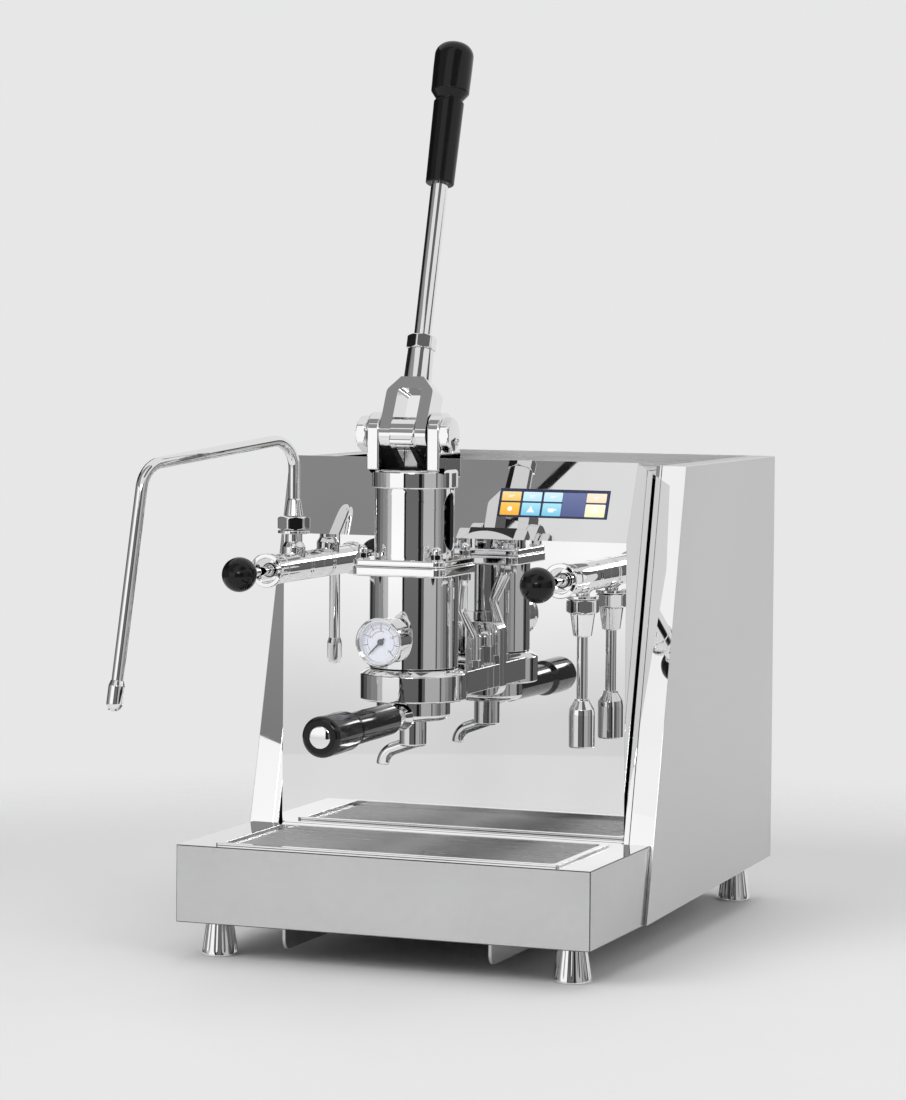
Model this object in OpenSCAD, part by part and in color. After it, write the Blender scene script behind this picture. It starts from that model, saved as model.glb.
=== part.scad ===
// Lever espresso machine with one spring group, two joystick taps and a lift-out drip tray.
// Millimetres, +Z up, front towards -Y. The origin lies on the counter under the front left foot.
// Depths are counted from the drip tray's front face, heights from the counter,
// widths from the middle.

/* [Body] */
// Width of the drip tray housing
body_w = 400; // [392:2:424]
// Depth from the tray's front face to the rear edge of the side panels
body_d = 560; // [550:5:620]
// Height of the side panels' top edge
body_h = 450; // [444:1:458]
// Thickness of the folded steel sheet
sheet = 2; // [1.5:0.25:2.5]
// Height of the drip tray housing
tray_h = 71; // [66:1:74]
// Thickness of the floor plate
floor_t = 3; // [2:0.5:4]

/* [Feet and rails] */
// Height of a foot
foot_h = 33; // [30:1:40]
// Diameter at the top of a foot
foot_top_d = 25; // [21:1:27]
// Diameter at the base of a foot
foot_base_d = 35.5; // [31:0.5:37]
// Number of flutes round a foot
flutes = 14; // [8:1:18]
// Width of one flute
flute_d = 3; // [2:0.5:3.5]
// Distance of a foot's axis from the tray's side face
foot_inset = 28; // [24:1:40]
// Distance of the front feet's axes from the front face
foot_front = 35; // [30:1:45]
// Distance of the rear feet's axes from the rear edge
foot_rear = 27; // [22:1:40]
// Half distance between the rails under the floor
rail_x = 100; // [80:5:120]
// Height of a rail
rail_h = 22; // [15:1:26]
// Thickness of a rail
rail_t = 3; // [2:0.5:5]

/* [Side panels] */
// Thickness of a folded side panel
panel_t = 24; // [20:1:26]
// How far a side panel stands proud of the tray's side
panel_proud = 3; // [2:0.5:5]
// Depth of the panel's front edge at its foot
panel_foot_y = 152; // [146:1:158]
// Depth of the panel's front edge at its head
panel_head_y = 259; // [250:1:270]
// Rise of the panel's lower edge towards the rear
panel_rise = 9; // [5:1:12]
// Gap between the panel's front flange and the splash back's side wall
flange_gap = 1.5; // [1:0.25:2.5]

/* [Splash back] */
// Depth of the mirror-polished front plane
fascia_y = 176; // [174:1:190]
// Inset of its side walls from the tray's side faces
fascia_inset = 28; // [26:1:34]
// Height of the crease where the upper panel starts to lean
crease_z = 381; // [376:1:388]
// Lean of the upper panel from the vertical
lean = 24; // [16:1:28]
// Height of the upper panel's top edge
fascia_top = 454; // [450:1:460]
// Length of the slope behind the top edge, front to rear
brow_d = 60; // [50:1:70]
// Depth of the cup tray below the side panels' top edge
cup_drop = 12; // [8:1:16]

/* [Drip tray] */
// Width of the opening for the basin
opening_w = 324; // [300:2:340]
// Distance of the opening from the front face
opening_front = 15; // [12:1:20]
// Depth of the opening, front to rear
opening_d = 135; // [120:1:145]
// Width of the basin's rim on the housing
basin_rim = 4; // [3:0.5:6]
// Depth of the basin below the housing's top
basin_depth = 58; // [40:1:60]
// Thickness of the grate
grate_t = 3; // [2:0.5:4]
// Depth of the grate's top below the rim's seat
grate_drop = 2; // [1:0.5:4]
// Spacing of the slats
slat_pitch = 9; // [7:0.5:12]
// Width of the gaps between the slats
slat_gap = 5; // [3:0.5:6]
// Bays between the cross supports
grate_bays = 5; // [3:1:7]

/* [Display] */
// Width of the display
display_w = 108; // [90:1:116]
// Height of the display along the slope
display_h = 28; // [20:1:34]
// Centre of the display right of the machine's middle
display_x = 95; // [80:1:100]
// Centre of the display above the crease, along the slope
display_up = 37; // [34:1:46]

/* [Group] */
// Distance of the group's axis from the splash back
group_reach = 96; // [94:1:104]
// Height of the bell's lower edge
bell_z = 239; // [236:1:252]
// Outer diameter of the bell
bell_d = 98; // [94:1:104]
// Height of the bell's straight wall
bell_h = 24; // [22:1:30]
// Height of the slope above the bell's wall
bell_slope = 6; // [4:1:9]
// Outer diameter of the barrel
barrel_d = 82; // [78:1:86]
// Height of the barrel up to its flange
barrel_h = 84; // [80:1:90]
// Diameter of the barrel's bore
bore_d = 62; // [58:1:64]
// Side of the square flanges
flange_w = 90; // [88:1:96]
// Thickness of the barrel's flange
flange_low = 9; // [7:0.5:11]
// Thickness of the spring housing's flange
flange_up = 6; // [5:0.5:8]
// Corner radius of the flanges
flange_r = 9; // [6:1:12]
// Outer diameter of the spring housing
housing_d = 73; // [72:0.5:76]
// Wall of the spring housing
housing_wall = 4; // [3:0.5:5]
// Height of the spring housing above its flange
housing_h = 64; // [60:1:70]
// Width of the window slots in the spring housing
slot_w = 24; // [16:1:30]
// Height of the window slots
slot_h = 52; // [40:1:54]
// Diameter of the housing cap
cap_d = 76; // [74:1:84]
// Thickness of the housing cap
cap_t = 12; // [10:1:14]
// Thickness of the plate under the ears
ear_plate = 3.4; // [2:0.2:4]
// Height of the neck casting's plate
neck_h = 21; // [16:1:24]
// Half width of the neck casting's plate
neck_x = 46; // [44:1:52]
// Thickness of the casting's foot on the splash back
neck_foot = 9; // [7:0.5:12]
// Overhang of that foot at the casting's sides
neck_over = 6; // [4:0.5:9]
// Drop of that foot below the casting's plate
neck_drop = 8; // [5:0.5:10]
// Rise of that foot above the casting's plate
neck_rise = 40; // [34:1:46]
// Width of a neck nut across its flats
neck_nut_af = 15; // [13:0.5:17]
// Height of a neck nut with its dome
neck_nut_h = 31; // [26:1:36]
// Width of a flange nut across its flats
flange_nut_af = 10; // [8:0.5:11]
// Height of a flange nut with its dome
flange_nut_h = 13; // [11:0.5:15]
// Diameter of the inlet pipe
pipe_d = 7; // [5:0.5:8]

/* [Lever mechanism] */
// Fulcrum in front of the group's axis
pin_front = 19; // [18:0.5:21]
// Fulcrum above the spring housing
pin_up = 49; // [48:0.5:54]
// Diameter of the fulcrum pin
pin_d = 10; // [8:0.5:11]
// Swing of the lever in degrees
lever_swing = 105; // [95:1:108]
// Radius of the crank
crank_r = 28; // [27:0.5:29]
// Diameter of the crank pin
crank_pin_d = 8; // [6:0.5:8.5]
// Width of the cam between the fork's arms
cam_w = 23; // [21:0.5:26]
// Radius of the cam
cam_r = 16; // [14:0.5:17]
// Radius of the crank's eye
eye_r = 9; // [8:0.5:9.5]
// Thickness of a fork arm
arm_t = 11; // [9:0.5:13]
// Play between a fork arm and an ear
ear_play = 0.8; // [0.5:0.1:1.2]
// Thickness of an ear
ear_t = 12; // [10:0.5:14]
// Depth of the rounded top of an ear
ear_d = 36; // [34:1:40]
// Diameter of the piston rod
rod_d = 12; // [10:0.5:13]
// Wall round the crosshead's slot
head_wall = 5; // [4:0.2:5.4]

/* [Lever] */
// Backward lean of the lever at rest
lever_lean = 16; // [8:1:20]
// Offset of the lever's axis behind the fulcrum
lever_set = 9; // [6:0.5:12]
// Height of the fork above the fulcrum
fork_h = 53.5; // [50:0.5:60]
// Height of the fork's window above the fulcrum
window_h = 42; // [38:0.5:45]
// Radius of the fork's lower ends
fork_r = 14; // [12:0.5:15]
// Diameter of the socket on the fork
socket_d = 26; // [24:0.5:30]
// Height of the socket
socket_h = 28; // [24:1:34]
// Width of the lock nut across its flats
lock_af = 24; // [20:0.5:27]
// Height of the lock nut
lock_h = 13.5; // [10:0.5:16]
// Diameter of the lever's rod
lever_d = 16; // [12:0.5:18]
// Length of the lever from the fulcrum to the grip's end
lever_reach = 379; // [340:1:420]
// Length of the grip
grip_len = 138; // [120:1:150]
// Diameter of the grip's lower end
grip_d = 26.5; // [24:0.5:30]
// Diameter of the grip's head
grip_head_d = 36.5; // [32:0.5:42]

/* [Spring] */
// Wire diameter
wire_d = 7; // [5:0.5:7.5]
// Outer diameter of the coil
coil_d = 58; // [54:0.5:58.5]
// Number of turns
coil_turns = 9; // [7:1:10]

/* [Piston] */
// Height of the piston
piston_h = 40; // [34:1:44]
// Play of the piston in the bore
piston_play = 0.5; // [0.4:0.1:0.8]
// Thickness of a seal
seal_t = 4; // [3:0.5:5]

/* [Gauge] */
// Outer diameter of the gauge
gauge_d = 44; // [40:1:48]
// Depth of the gauge's case
gauge_t = 32; // [28:1:36]
// Height of the gauge's axis above the barrel's lower edge
gauge_up = 28; // [27:1:32]
// Distance of the gauge's front from the group's axis
gauge_reach = 86; // [84:1:96]
// Diameter of the gauge's stem
stem_d = 12; // [10:0.5:14]

/* [Portafilter] */
// Outer diameter of the portafilter's cup
cup_d = 68; // [66:0.5:70]
// Height of the cup below the bell
cup_h = 18; // [16:1:24]
// Nominal diameter of the filter basket
basket_d = 58; // [54:0.5:59]
// Reach of the handle's end from the group's axis
handle_reach = 216; // [200:1:240]
// Length of the black handle
handle_len = 154; // [140:1:165]
// Diameter of the handle's slim part
handle_d = 28; // [25:0.5:31]
// Diameter of the handle's end
handle_head_d = 36; // [33:0.5:40]
// Diameter of the bright disc on the handle's end
cap_disc_d = 20; // [16:1:26]
// Diameter of the spout's body
spout_d = 25; // [22:0.5:28]
// Height of the spout's body
spout_h = 25; // [24:0.5:30]
// Diameter of the spout's beak
beak_d = 12; // [10:0.5:13]
// Wall of the beak
beak_wall = 1.6; // [1.4:0.1:2]
// Radius of the beak's bend
beak_r = 15.5; // [13:0.5:16]
// Reach of that bend from the spout's axis
beak_reach = 28.5; // [26:0.5:32]
// Drop of that bend below the spout's body
beak_drop = 7; // [7:0.5:8.5]
// Length of the beak from that bend to its tip
beak_tip = 11; // [10.8:0.1:11.2]
// Slope of the beak under the spout's body
beak_slope = 20; // [18:1:24]
// Radius of the cup's lower edge
cup_round = 5; // [3:0.5:6]

/* [Taps] */
// Half distance between the taps
tap_x = 144; // [140:1:150]
// Height of the taps' axes
tap_z = 352; // [346:1:360]
// Length of a valve body
tap_len = 105; // [100:1:115]
// Diameter of a valve body
tap_d = 28; // [26:0.5:30]
// Diameter of the valve's tail through the splash back
tail_d = 18; // [16:0.5:20]
// Distance of an outlet from the splash back
outlet_y = 41; // [38:1:50]
// Diameter of a black ball
ball_d = 32; // [28:0.5:36]
// Distance of a ball's centre from the splash back
ball_reach = 164; // [156:1:175]
// Diameter of a joystick's stem
joy_d = 9; // [7:0.5:10]
// Width of a gland nut across its flats
gland_af = 27; // [24:0.5:30]
// Height of a gland nut
gland_h = 13; // [11:0.5:15]
// Thickness of the washer under a gland nut
washer_t = 3.5; // [2:0.5:4]
// Length of the steam outlet above the valve's axis
steam_neck = 31; // [28:1:34]
// Length of the water outlet below the valve's axis
water_neck = 17; // [16:1:20]
// Diameter of the steam wand's tube
steam_d = 11; // [9:0.5:12]
// Diameter of the water wand's tube
water_d = 10; // [8:0.5:11]
// Bend radius of the steam wand, on the tube's axis
wand_bend = 26; // [20:1:32]
// Height of the steam wand's upper corner
wand_top = 468; // [462:1:480]
// Sideways reach of the steam wand's elbow from its swivel
elbow_out = 69; // [60:1:80]
// Forward reach of the elbow from the swivel
elbow_front = 179; // [165:1:190]
// Drop of the arm from its corner to the elbow
elbow_drop = 22; // [15:1:30]
// Height of the steam wand's lower end
wand_end = 232; // [220:1:250]
// Sideways spread of the leg below the elbow
leg_out = 13; // [8:1:18]
// Forward spread of the leg below the elbow
leg_front = 33; // [25:1:40]
// Height of the water wand's lower end
water_end = 196; // [190:1:210]
// Diameter of the water wand's tip
water_tip_d = 24; // [20:0.5:26]
// Height of the water wand's tip
water_tip_h = 43; // [38:1:48]
// Length of the steam wand's tip
tip_len = 28; // [24:1:34]

/* [Inside] */
// Diameter of the steam boiler
steam_boiler_d = 160; // [140:5:165]
// Height of the steam boiler
steam_boiler_h = 280; // [240:5:300]
// Diameter of the brew boiler
brew_boiler_d = 100; // [80:5:110]
// Height of the brew boiler
brew_boiler_h = 260; // [200:5:280]
// Diameter of the pump's motor
motor_d = 84; // [70:2:90]
// Length of the pump with its motor
pump_len = 140; // [120:2:145]
// Width of the water tank
tank_w = 104; // [90:2:108]
// Depth of the water tank
tank_d = 204; // [180:2:208]
// Height of the water tank
tank_h = 290; // [240:5:320]
// Wall of the water tank
tank_wall = 3; // [2:0.5:4]
// Corner radius of the water tank
tank_r = 14; // [10:1:18]
// Wall of a boiler
boiler_wall = 2; // [1.5:0.25:3]
// Radius of a boiler's shoulder
boiler_r = 30; // [20:1:34]
// Height of the skirt that a boiler stands on
skirt_h = 12; // [8:1:16]
// Thickness of that skirt
skirt_t = 6; // [4:0.5:8]
// Diameter of the port in a boiler's bottom
port_d = 10; // [6:1:14]
// Height of the boss on a boiler
boss_h = 12; // [8:1:16]
// Width of the control box
control_w = 76; // [60:2:84]
// Depth of the control box
control_d = 42; // [30:2:60]
// Height of the control box
control_h = 160; // [120:5:200]
// Height of the motor above the floor plate
motor_up = 6; // [4:0.5:10]
// Clearance round the pieces inside
inside_gap = 6; // [4:0.5:8]

/* [Fits] */
// Clearance between separate pieces
gap = 0.3; // [0.2:0.05:0.4]
// Radial clearance of a running fit
run = 0.05; // [0.02:0.01:0.08]

/* [Hidden] */
$fn = 72;

// Housing levels and planes
tray_top = foot_h + tray_h;
floor_top = foot_h + floor_t;
half_w = body_w / 2;
panel_out = half_w + panel_proud;
panel_in = panel_out - panel_t;
fascia_x = half_w - fascia_inset;
foot_x = half_w - foot_inset;
foot_rear_y = body_d - foot_rear;
panel_slope = (panel_head_y - panel_foot_y) / (body_h - foot_h);
brow_y = fascia_y + (fascia_top - crease_z) * tan(lean);
cup_z = body_h - cup_drop - sheet;
inner_rear = body_d - 2 * sheet - gap;
opening_rear = opening_front + opening_d;
grate_z = tray_top - grate_drop - grate_t;
basin_wall = 2;
ledge_w = 5;

// Group levels
group_y = fascia_y - group_reach;
barrel_z = bell_z + bell_h + bell_slope;
flange_z = barrel_z + barrel_h;
upper_z = flange_z + flange_low;
housing_z = upper_z + flange_up;
cap_z = housing_z + housing_h;
ear_z = cap_z + cap_t;
lug_floor = bell_z + 4;
lug_roof = lug_floor + 8;
lug_r = cup_d / 2 + 6;
gasket_t = 3.3;
rim_z = lug_roof - gasket_t - gap;
basket_rim = 1.5;
screen_t = 2;
piston_z = lug_roof + screen_t + 3;
piston_top = piston_z + piston_h;
neck_z = barrel_z - bell_slope - neck_h + 1;
neck_top = neck_z + neck_h;
neck_nut_x = 32;
neck_nut_y = fascia_y - 23;
flange_nut = flange_w / 2 - flange_r;

// Lever mechanism
pin_y = group_y - pin_front;
pin_z = cap_z + pin_up;
half_swing = lever_swing / 2;
crank_y = crank_r * cos(half_swing);
crank_z = crank_r * sin(half_swing);
// Largest departure of the crank's rise from a steady rise over its swing
rise_error = crank_r * max([for (a = [0:1:half_swing]) abs(sin(a) - a / half_swing * sin(half_swing))]);
slot_half = crank_pin_d / 2 + rise_error + gap;
head_half = slot_half + head_wall;
head_front = pin_y + crank_y - crank_pin_d / 2 - gap - head_wall + 1;
head_rear = pin_y + crank_r + crank_pin_d / 2 + gap + head_wall - 1;
notch_half = rod_d / 2 + 0.4;
arm_in = cam_w / 2;
arm_out = arm_in + arm_t;
ear_in = arm_out + ear_play;
ear_out = ear_in + ear_t;
ear_front = group_y - 31;
ear_rear = ear_front + ear_d;
ear_top = pin_z + ear_d / 2 + 2;
heel_rear = group_y + 25;
heel_z = pin_z - 14;
head_t = 10;

// Spring between the piston and the cap
spring_low = piston_top + gap;
spring_high = cap_z - gap;
coil_r = (coil_d - wire_d) / 2;

// Taps
tap_front = fascia_y - tap_len;
joy_y = tap_front + 9;
joint_r = 7;
outlet = fascia_y - outlet_y;
gauge_z = barrel_z + gauge_up;
gauge_y = group_y - gauge_reach;

// Geometry helpers
function unit(v) = v / norm(v);

// Outline with the corners rounded, one radius per corner
function rounded(pts, radii, steps = 6) = [for (i = [0:len(pts) - 1])
    let (n = len(pts), p = pts[i], a = unit(pts[(i + n - 1) % n] - p), b = unit(pts[(i + 1) % n] - p),
        half = acos(a * b) / 2, r = radii[i], c = p + unit(a + b) * r / sin(half),
        s = p + a * r / tan(half) - c, e = p + b * r / tan(half) - c,
        from = atan2(s[1], s[0]), turn = (atan2(e[1], e[0]) - from + 540) % 360 - 180)
    for (k = [0:r > 0 ? steps : 0]) let (t = from + turn * k / steps)
        r > 0 ? c + r * [cos(t), sin(t)] : p];

function same(r, n) = [for (i = [1:n]) r];

function rect(w, h) = [[-w / 2, -h / 2], [w / 2, -h / 2], [w / 2, h / 2], [-w / 2, h / 2]];

// Point where a line from p touches a circle of radius r about the origin, on the side given by sign
function touch(r, p, sign) = let (a = atan2(p[1], p[0]) + sign * acos(r / norm(p))) r * [cos(a), sin(a)];

module place() translate([foot_x, -foot_front, 0]) children();

// An outline in depth and height, carried from x0 to x1
module across(x0, x1) translate([x0, 0, 0]) rotate([90, 0, 90]) linear_extrude(x1 - x0) children();

// An outline in width and height, carried from depth y0 to y1
module through(y0, y1) translate([0, y1, 0]) rotate([90, 0, 0]) linear_extrude(y1 - y0) children();

module on_group() place() translate([0, group_y, 0]) children();

module at_pin() place() translate([0, pin_y, pin_z]) children();

// Frame of the resting lever: fulcrum at the origin, Z along the lever
module on_lever() at_pin() rotate([-lever_lean, 0, 0]) children();

// Turns a shape about Z into one about the depth axis
module about_y() rotate([-90, 0, 0]) children();

module bar_x(r, x0, x1) translate([x0, 0, 0]) rotate([0, 90, 0]) cylinder(r = r, h = x1 - x0);

module bar_y(r, y0, y1) translate([0, y0, 0]) rotate([-90, 0, 0]) cylinder(r = r, h = y1 - y0);

module tube(r_out, r_in, h) difference() {
    cylinder(r = r_out, h = h);
    translate([0, 0, -1]) cylinder(r = r_in, h = h + 2);
}

// Hexagon bar with its far corners chamfered
module hex(af, h) intersection() {
    cylinder(d = af / cos(30), h = h, $fn = 6);
    rotate_extrude()
        polygon([[0, -1], [af, -1], [af, h - 0.35 * af], [0.455 * af, h + 0.01], [0, h + 0.01]]);
}

module acorn_nut(af, hex_h, dome_h) {
    hex(af, hex_h);
    cylinder(d = 0.88 * af, h = dome_h - 0.44 * af);
    translate([0, 0, dome_h - 0.44 * af]) sphere(d = 0.88 * af);
}

// Round tube along straight runs joined by true bends; the runs end a little inside the bends
module tube_run(pts, r, bend) {
    n = len(pts) - 1;
    dirs = [for (i = [0:n - 1]) unit(pts[i + 1] - pts[i])];
    turns = [for (i = [1:n - 1]) acos(dirs[i - 1] * dirs[i])];
    cut = concat([0], [for (t = turns) bend * tan(t / 2)], [0]);
    lap = 0.7;
    for (i = [0:n - 1]) {
        lead = i > 0 ? lap : 0;
        from = pts[i] + dirs[i] * (cut[i] - lead);
        len = norm(pts[i + 1] - pts[i]) - cut[i] - cut[i + 1] + lead + (i < n - 1 ? lap : 0);
        side = unit(cross(dirs[i], abs(dirs[i][2]) > 0.9 ? [1, 0, 0] : [0, 0, 1]));
        frame(from, side, cross(dirs[i], side)) cylinder(r = r - 0.06, h = len);
    }
    for (i = [1:n - 1]) {
        inward = unit(dirs[i] - (dirs[i] * dirs[i - 1]) * dirs[i - 1]);
        centre = pts[i] - dirs[i - 1] * cut[i] + inward * bend;
        frame(centre, -inward, dirs[i - 1]) rotate_extrude(angle = turns[i - 1])
            translate([bend, 0]) circle(r = r);
    }
}

// Moves children to a frame given by its origin and its first two axes
module frame(o, ex, ey) {
    ez = cross(ex, ey);
    multmatrix([[ex[0], ey[0], ez[0], o[0]], [ex[1], ey[1], ez[1], o[1]],
        [ex[2], ey[2], ez[2], o[2]], [0, 0, 0, 1]]) children();
}

// Housing
function panel_edge(z) = panel_foot_y + panel_slope * (z - foot_h);

// Side panel's outline, drawn in by d on every edge
function panel_outline(d) = let (s = d * sqrt(1 + panel_slope * panel_slope)) [
    [panel_edge(foot_h + d) + s, foot_h + d],
    [body_d - d, foot_h + panel_rise + d],
    [body_d - d, body_h - d],
    [panel_edge(body_h - d) + s, body_h - d]];

// Hollow pan whose front flange reaches in to the splash back
module side_panel(side) place() mirror([side < 0 ? 1 : 0, 0, 0]) {
    difference() {
        across(panel_in, panel_out) polygon(panel_outline(0));
        across(panel_in - 1, panel_out - sheet) polygon(panel_outline(sheet));
    }
    low = floor_top + gap;
    front = [panel_edge(low), panel_edge(body_h)];
    fold = sheet * sqrt(1 + panel_slope * panel_slope);
    across(fascia_x + flange_gap, panel_in + 1)
        polygon([[front[0], low], [front[0] + fold, low], [front[1] + fold, body_h], [front[1], body_h]]);
}

module left_side_panel() color("lightgray") side_panel(-1);

module right_side_panel() color("lightgray") side_panel(1);

module base_chassis() color("dimgray") place() translate([0, 0, foot_h]) linear_extrude(floor_t) {
    front_x = half_w - sheet - gap;
    rear_x = panel_in - gap;
    front_y = sheet + gap;
    notch_y = panel_foot_y - sheet - gap;
    rear_y = inner_rear + sheet;
    polygon([[-front_x, front_y], [front_x, front_y], [front_x, notch_y], [rear_x, notch_y],
        [rear_x, rear_y], [-rear_x, rear_y], [-rear_x, notch_y], [-front_x, notch_y]]);
}

module chassis_rails() color("gray") place() {
    start = foot_front - foot_base_d / 2 + 0.75;
    end = foot_rear_y - foot_base_d;
    low = foot_h - rail_h;
    outline = [[start, foot_h], [start, low], [end, low], [end, foot_h]];
    for (x = [-rail_x, rail_x]) across(x - rail_t / 2, x + rail_t / 2)
        polygon(rounded(outline, [2, rail_h / 2 - 1, rail_h / 2 - 1, 2]));
}

// Truncated cone with flutes that follow its slope
module foot() {
    tilt = atan((foot_base_d - foot_top_d) / 2 / foot_h);
    difference() {
        cylinder(d1 = foot_base_d, d2 = foot_top_d, h = foot_h);
        for (i = [0:flutes - 1]) rotate([0, 0, 360 * i / flutes])
            translate([foot_base_d / 2 + flute_d / 5, 0, 4])
                rotate([0, -tilt, 0]) cylinder(d = flute_d, h = foot_h - 8);
    }
}

module feet() color("silver") place()
    for (x = [-foot_x, foot_x], y = [foot_front, foot_rear_y]) translate([x, y, 0]) foot();

// Front plane, leaning panel and two side walls, open behind and above
module fascia() color("gainsboro") place() {
    outer = [[fascia_y, floor_top], [fascia_y, crease_z], [brow_y, fascia_top],
        [brow_y + brow_d, cup_z + sheet], [brow_y + brow_d, cup_z], [inner_rear, cup_z],
        [inner_rear, floor_top]];
    back = sheet / cos(lean);
    cut_top = max(fascia_top, cup_z + sheet) + 10;
    inner = [[fascia_y + sheet, floor_top - 1], [fascia_y + sheet, crease_z - sheet * tan(lean / 2)],
        [brow_y + back + (cut_top - fascia_top) * tan(lean), cut_top], [inner_rear + 1, cut_top],
        [inner_rear + 1, floor_top - 1]];
    difference() {
        across(-fascia_x, fascia_x) polygon(outer);
        across(-fascia_x + sheet, fascia_x - sheet) polygon(inner);
        on_slope() translate([0, 0, -2 * sheet]) linear_extrude(4 * sheet)
            square([display_w + 2 * gap, display_h + 2 * gap], true);
        for (x = [-tap_x, tap_x]) translate([x, 0, tap_z])
            bar_y(tail_d / 2 + gap, fascia_y - 1, fascia_y + sheet + 1);
    }
}

// Frame on the leaning panel's outer face, Z outwards, at the display's centre
module on_slope() translate([0, fascia_y, crease_z]) rotate([-lean, 0, 0])
    translate([display_x, 0, display_up]) rotate([90, 0, 0]) children();

module display() color("midnightblue") place() on_slope() {
    translate([0, 0, -sheet]) linear_extrude(sheet)
        polygon(rounded(rect(display_w, display_h), same(1.5, 4)));
    translate([0, 0, -sheet - 3]) linear_extrude(3) square([display_w + 8, display_h + 8], true);
    translate([0, 0, -sheet - 12]) linear_extrude(9) square([display_w - 6, display_h - 4], true);
}

module rear_cover() color("lightgray") place() {
    vents = 12;
    vent_w = 110;
    vent_h = 5;
    difference() {
        wide = panel_in - gap;
        translate([-wide, inner_rear, floor_top]) cube([2 * wide, sheet, body_h - floor_top]);
        for (x = [-panel_in / 2, panel_in / 2], i = [0:vents - 1])
            translate([x - vent_w / 2, inner_rear - 1, floor_top + 60 + 3 * vent_h * i])
                cube([vent_w, sheet + 2, vent_h]);
    }
}

module cup_tray() color("silver") place() {
    wide = panel_in - gap;
    slim = fascia_x - sheet - gap;
    front = brow_y + sheet / cos(lean) + gap;
    step = brow_y + brow_d + gap;
    slots = 9;
    translate([0, 0, cup_z]) linear_extrude(sheet) difference() {
        polygon([[-slim, front], [slim, front], [slim, step], [wide, step], [wide, inner_rear - gap],
            [-wide, inner_rear - gap], [-wide, step], [-slim, step]]);
        for (i = [0:slots - 1])
            translate([(i - (slots - 1) / 2) * 2 * slim / slots, (step + inner_rear) / 2])
                polygon(rounded(rect(7, (inner_rear - step) * 0.63), same(3.4, 4)));
    }
}

module tray_box() color("silver") place() {
    rear_z = [panel_edge(foot_h), panel_edge(tray_top)];
    side = [[0, foot_h], [rear_z[0] - gap, foot_h], [rear_z[1] - gap, tray_top], [0, tray_top]];
    difference() {
        union() {
            across(-half_w, half_w) polygon(side);
            translate([-fascia_x, rear_z[1] - 5, tray_top - sheet])
                cube([2 * fascia_x, fascia_y - gap - rear_z[1] + 5, sheet]);
        }
        translate([-half_w + sheet, sheet, foot_h - 1])
            cube([body_w - 2 * sheet, body_d, tray_h - sheet + 1]);
        translate([-opening_w / 2, opening_front, foot_h]) cube([opening_w, opening_d, tray_h + 1]);
    }
}

module drip_basin() color("silver") place() {
    w = opening_w - 4 * gap;
    d = opening_d - 4 * gap;
    mid = opening_front + opening_d / 2;
    low = tray_top - basin_depth;
    inside = rect(w - 2 * basin_wall, d - 2 * basin_wall);
    ledge = rect(w - 2 * basin_wall - 2 * ledge_w, d - 2 * basin_wall - 2 * ledge_w);
    rim = rect(opening_w + 2 * basin_rim, opening_d + 2 * basin_rim);
    translate([0, mid, 0]) difference() {
        union() {
            translate([0, 0, low]) linear_extrude(basin_depth) polygon(rounded(rect(w, d), same(6, 4)));
            translate([0, 0, tray_top]) linear_extrude(basin_wall) polygon(rounded(rim, same(3, 4)));
        }
        translate([0, 0, low + basin_wall]) linear_extrude(basin_depth)
            polygon(rounded(ledge, same(4, 4)));
        translate([0, 0, grate_z]) linear_extrude(basin_depth) polygon(rounded(inside, same(5, 4)));
        translate([0, 0, low + basin_wall]) linear_extrude(grate_z - 3 - low - basin_wall)
            polygon(rounded(inside, same(5, 4)));
    }
}

module drip_grate() color("silver") place() {
    w = opening_w - 4 * gap - 2 * basin_wall - 4 * gap;
    d = opening_d - 4 * gap - 2 * basin_wall - 4 * gap;
    edge = 6;
    rib = 3;
    rows = floor((d - 2 * edge) / slat_pitch);
    bay = (w - 2 * edge + rib) / grate_bays;
    translate([0, opening_front + opening_d / 2, grate_z]) linear_extrude(grate_t) difference() {
        polygon(rounded(rect(w, d), same(5, 4)));
        for (i = [0:rows - 1], k = [0:grate_bays - 1])
            translate([-w / 2 + edge + k * bay, (i - (rows - 1) / 2) * slat_pitch - slat_gap / 2])
                square([bay - rib, slat_gap]);
    }
}

// Boilers, tank, pump and control box stand on the floor plate
inside_x = fascia_x - sheet - inside_gap;
inside_front = fascia_y + sheet + inside_gap;
inside_rear = inner_rear - inside_gap;
brew_x = brew_boiler_d / 2 - inside_x;
pump_x = inside_x - motor_d / 2;
control_x = (brew_x + brew_boiler_d / 2 + pump_x - motor_d / 2) / 2;

function shoulder(r, h, bend, from, to) = [for (k = [0:6]) let (a = from + (to - from) * k / 6)
    [r - boiler_r + bend * cos(a), h - boiler_r + bend * sin(a)]];

// Shell with a skirt below, a port in its bottom and a boss on top
module boiler(d, h) translate([0, 0, floor_top]) rotate_extrude($fn = 48) polygon(concat(
    [[port_d / 2, skirt_h], [d / 2 - skirt_t, skirt_h], [d / 2 - skirt_t, 0], [d / 2, 0]],
    shoulder(d / 2, h, boiler_r, 0, 90),
    [[0.19 * d, h], [0.19 * d, h + boss_h], [0, h + boss_h], [0, h - boiler_wall]],
    shoulder(d / 2, h, boiler_r - boiler_wall, 90, 0),
    [[d / 2 - boiler_wall, skirt_h + boiler_wall], [port_d / 2, skirt_h + boiler_wall]]));

module steam_boiler() color("peru") place()
    translate([inside_x - steam_boiler_d / 2, inside_rear - steam_boiler_d / 2, 0])
        boiler(steam_boiler_d, steam_boiler_h);

module brew_boiler() color("peru") place() translate([brew_x, inside_front + brew_boiler_d / 2, 0])
    boiler(brew_boiler_d, brew_boiler_h);

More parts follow.
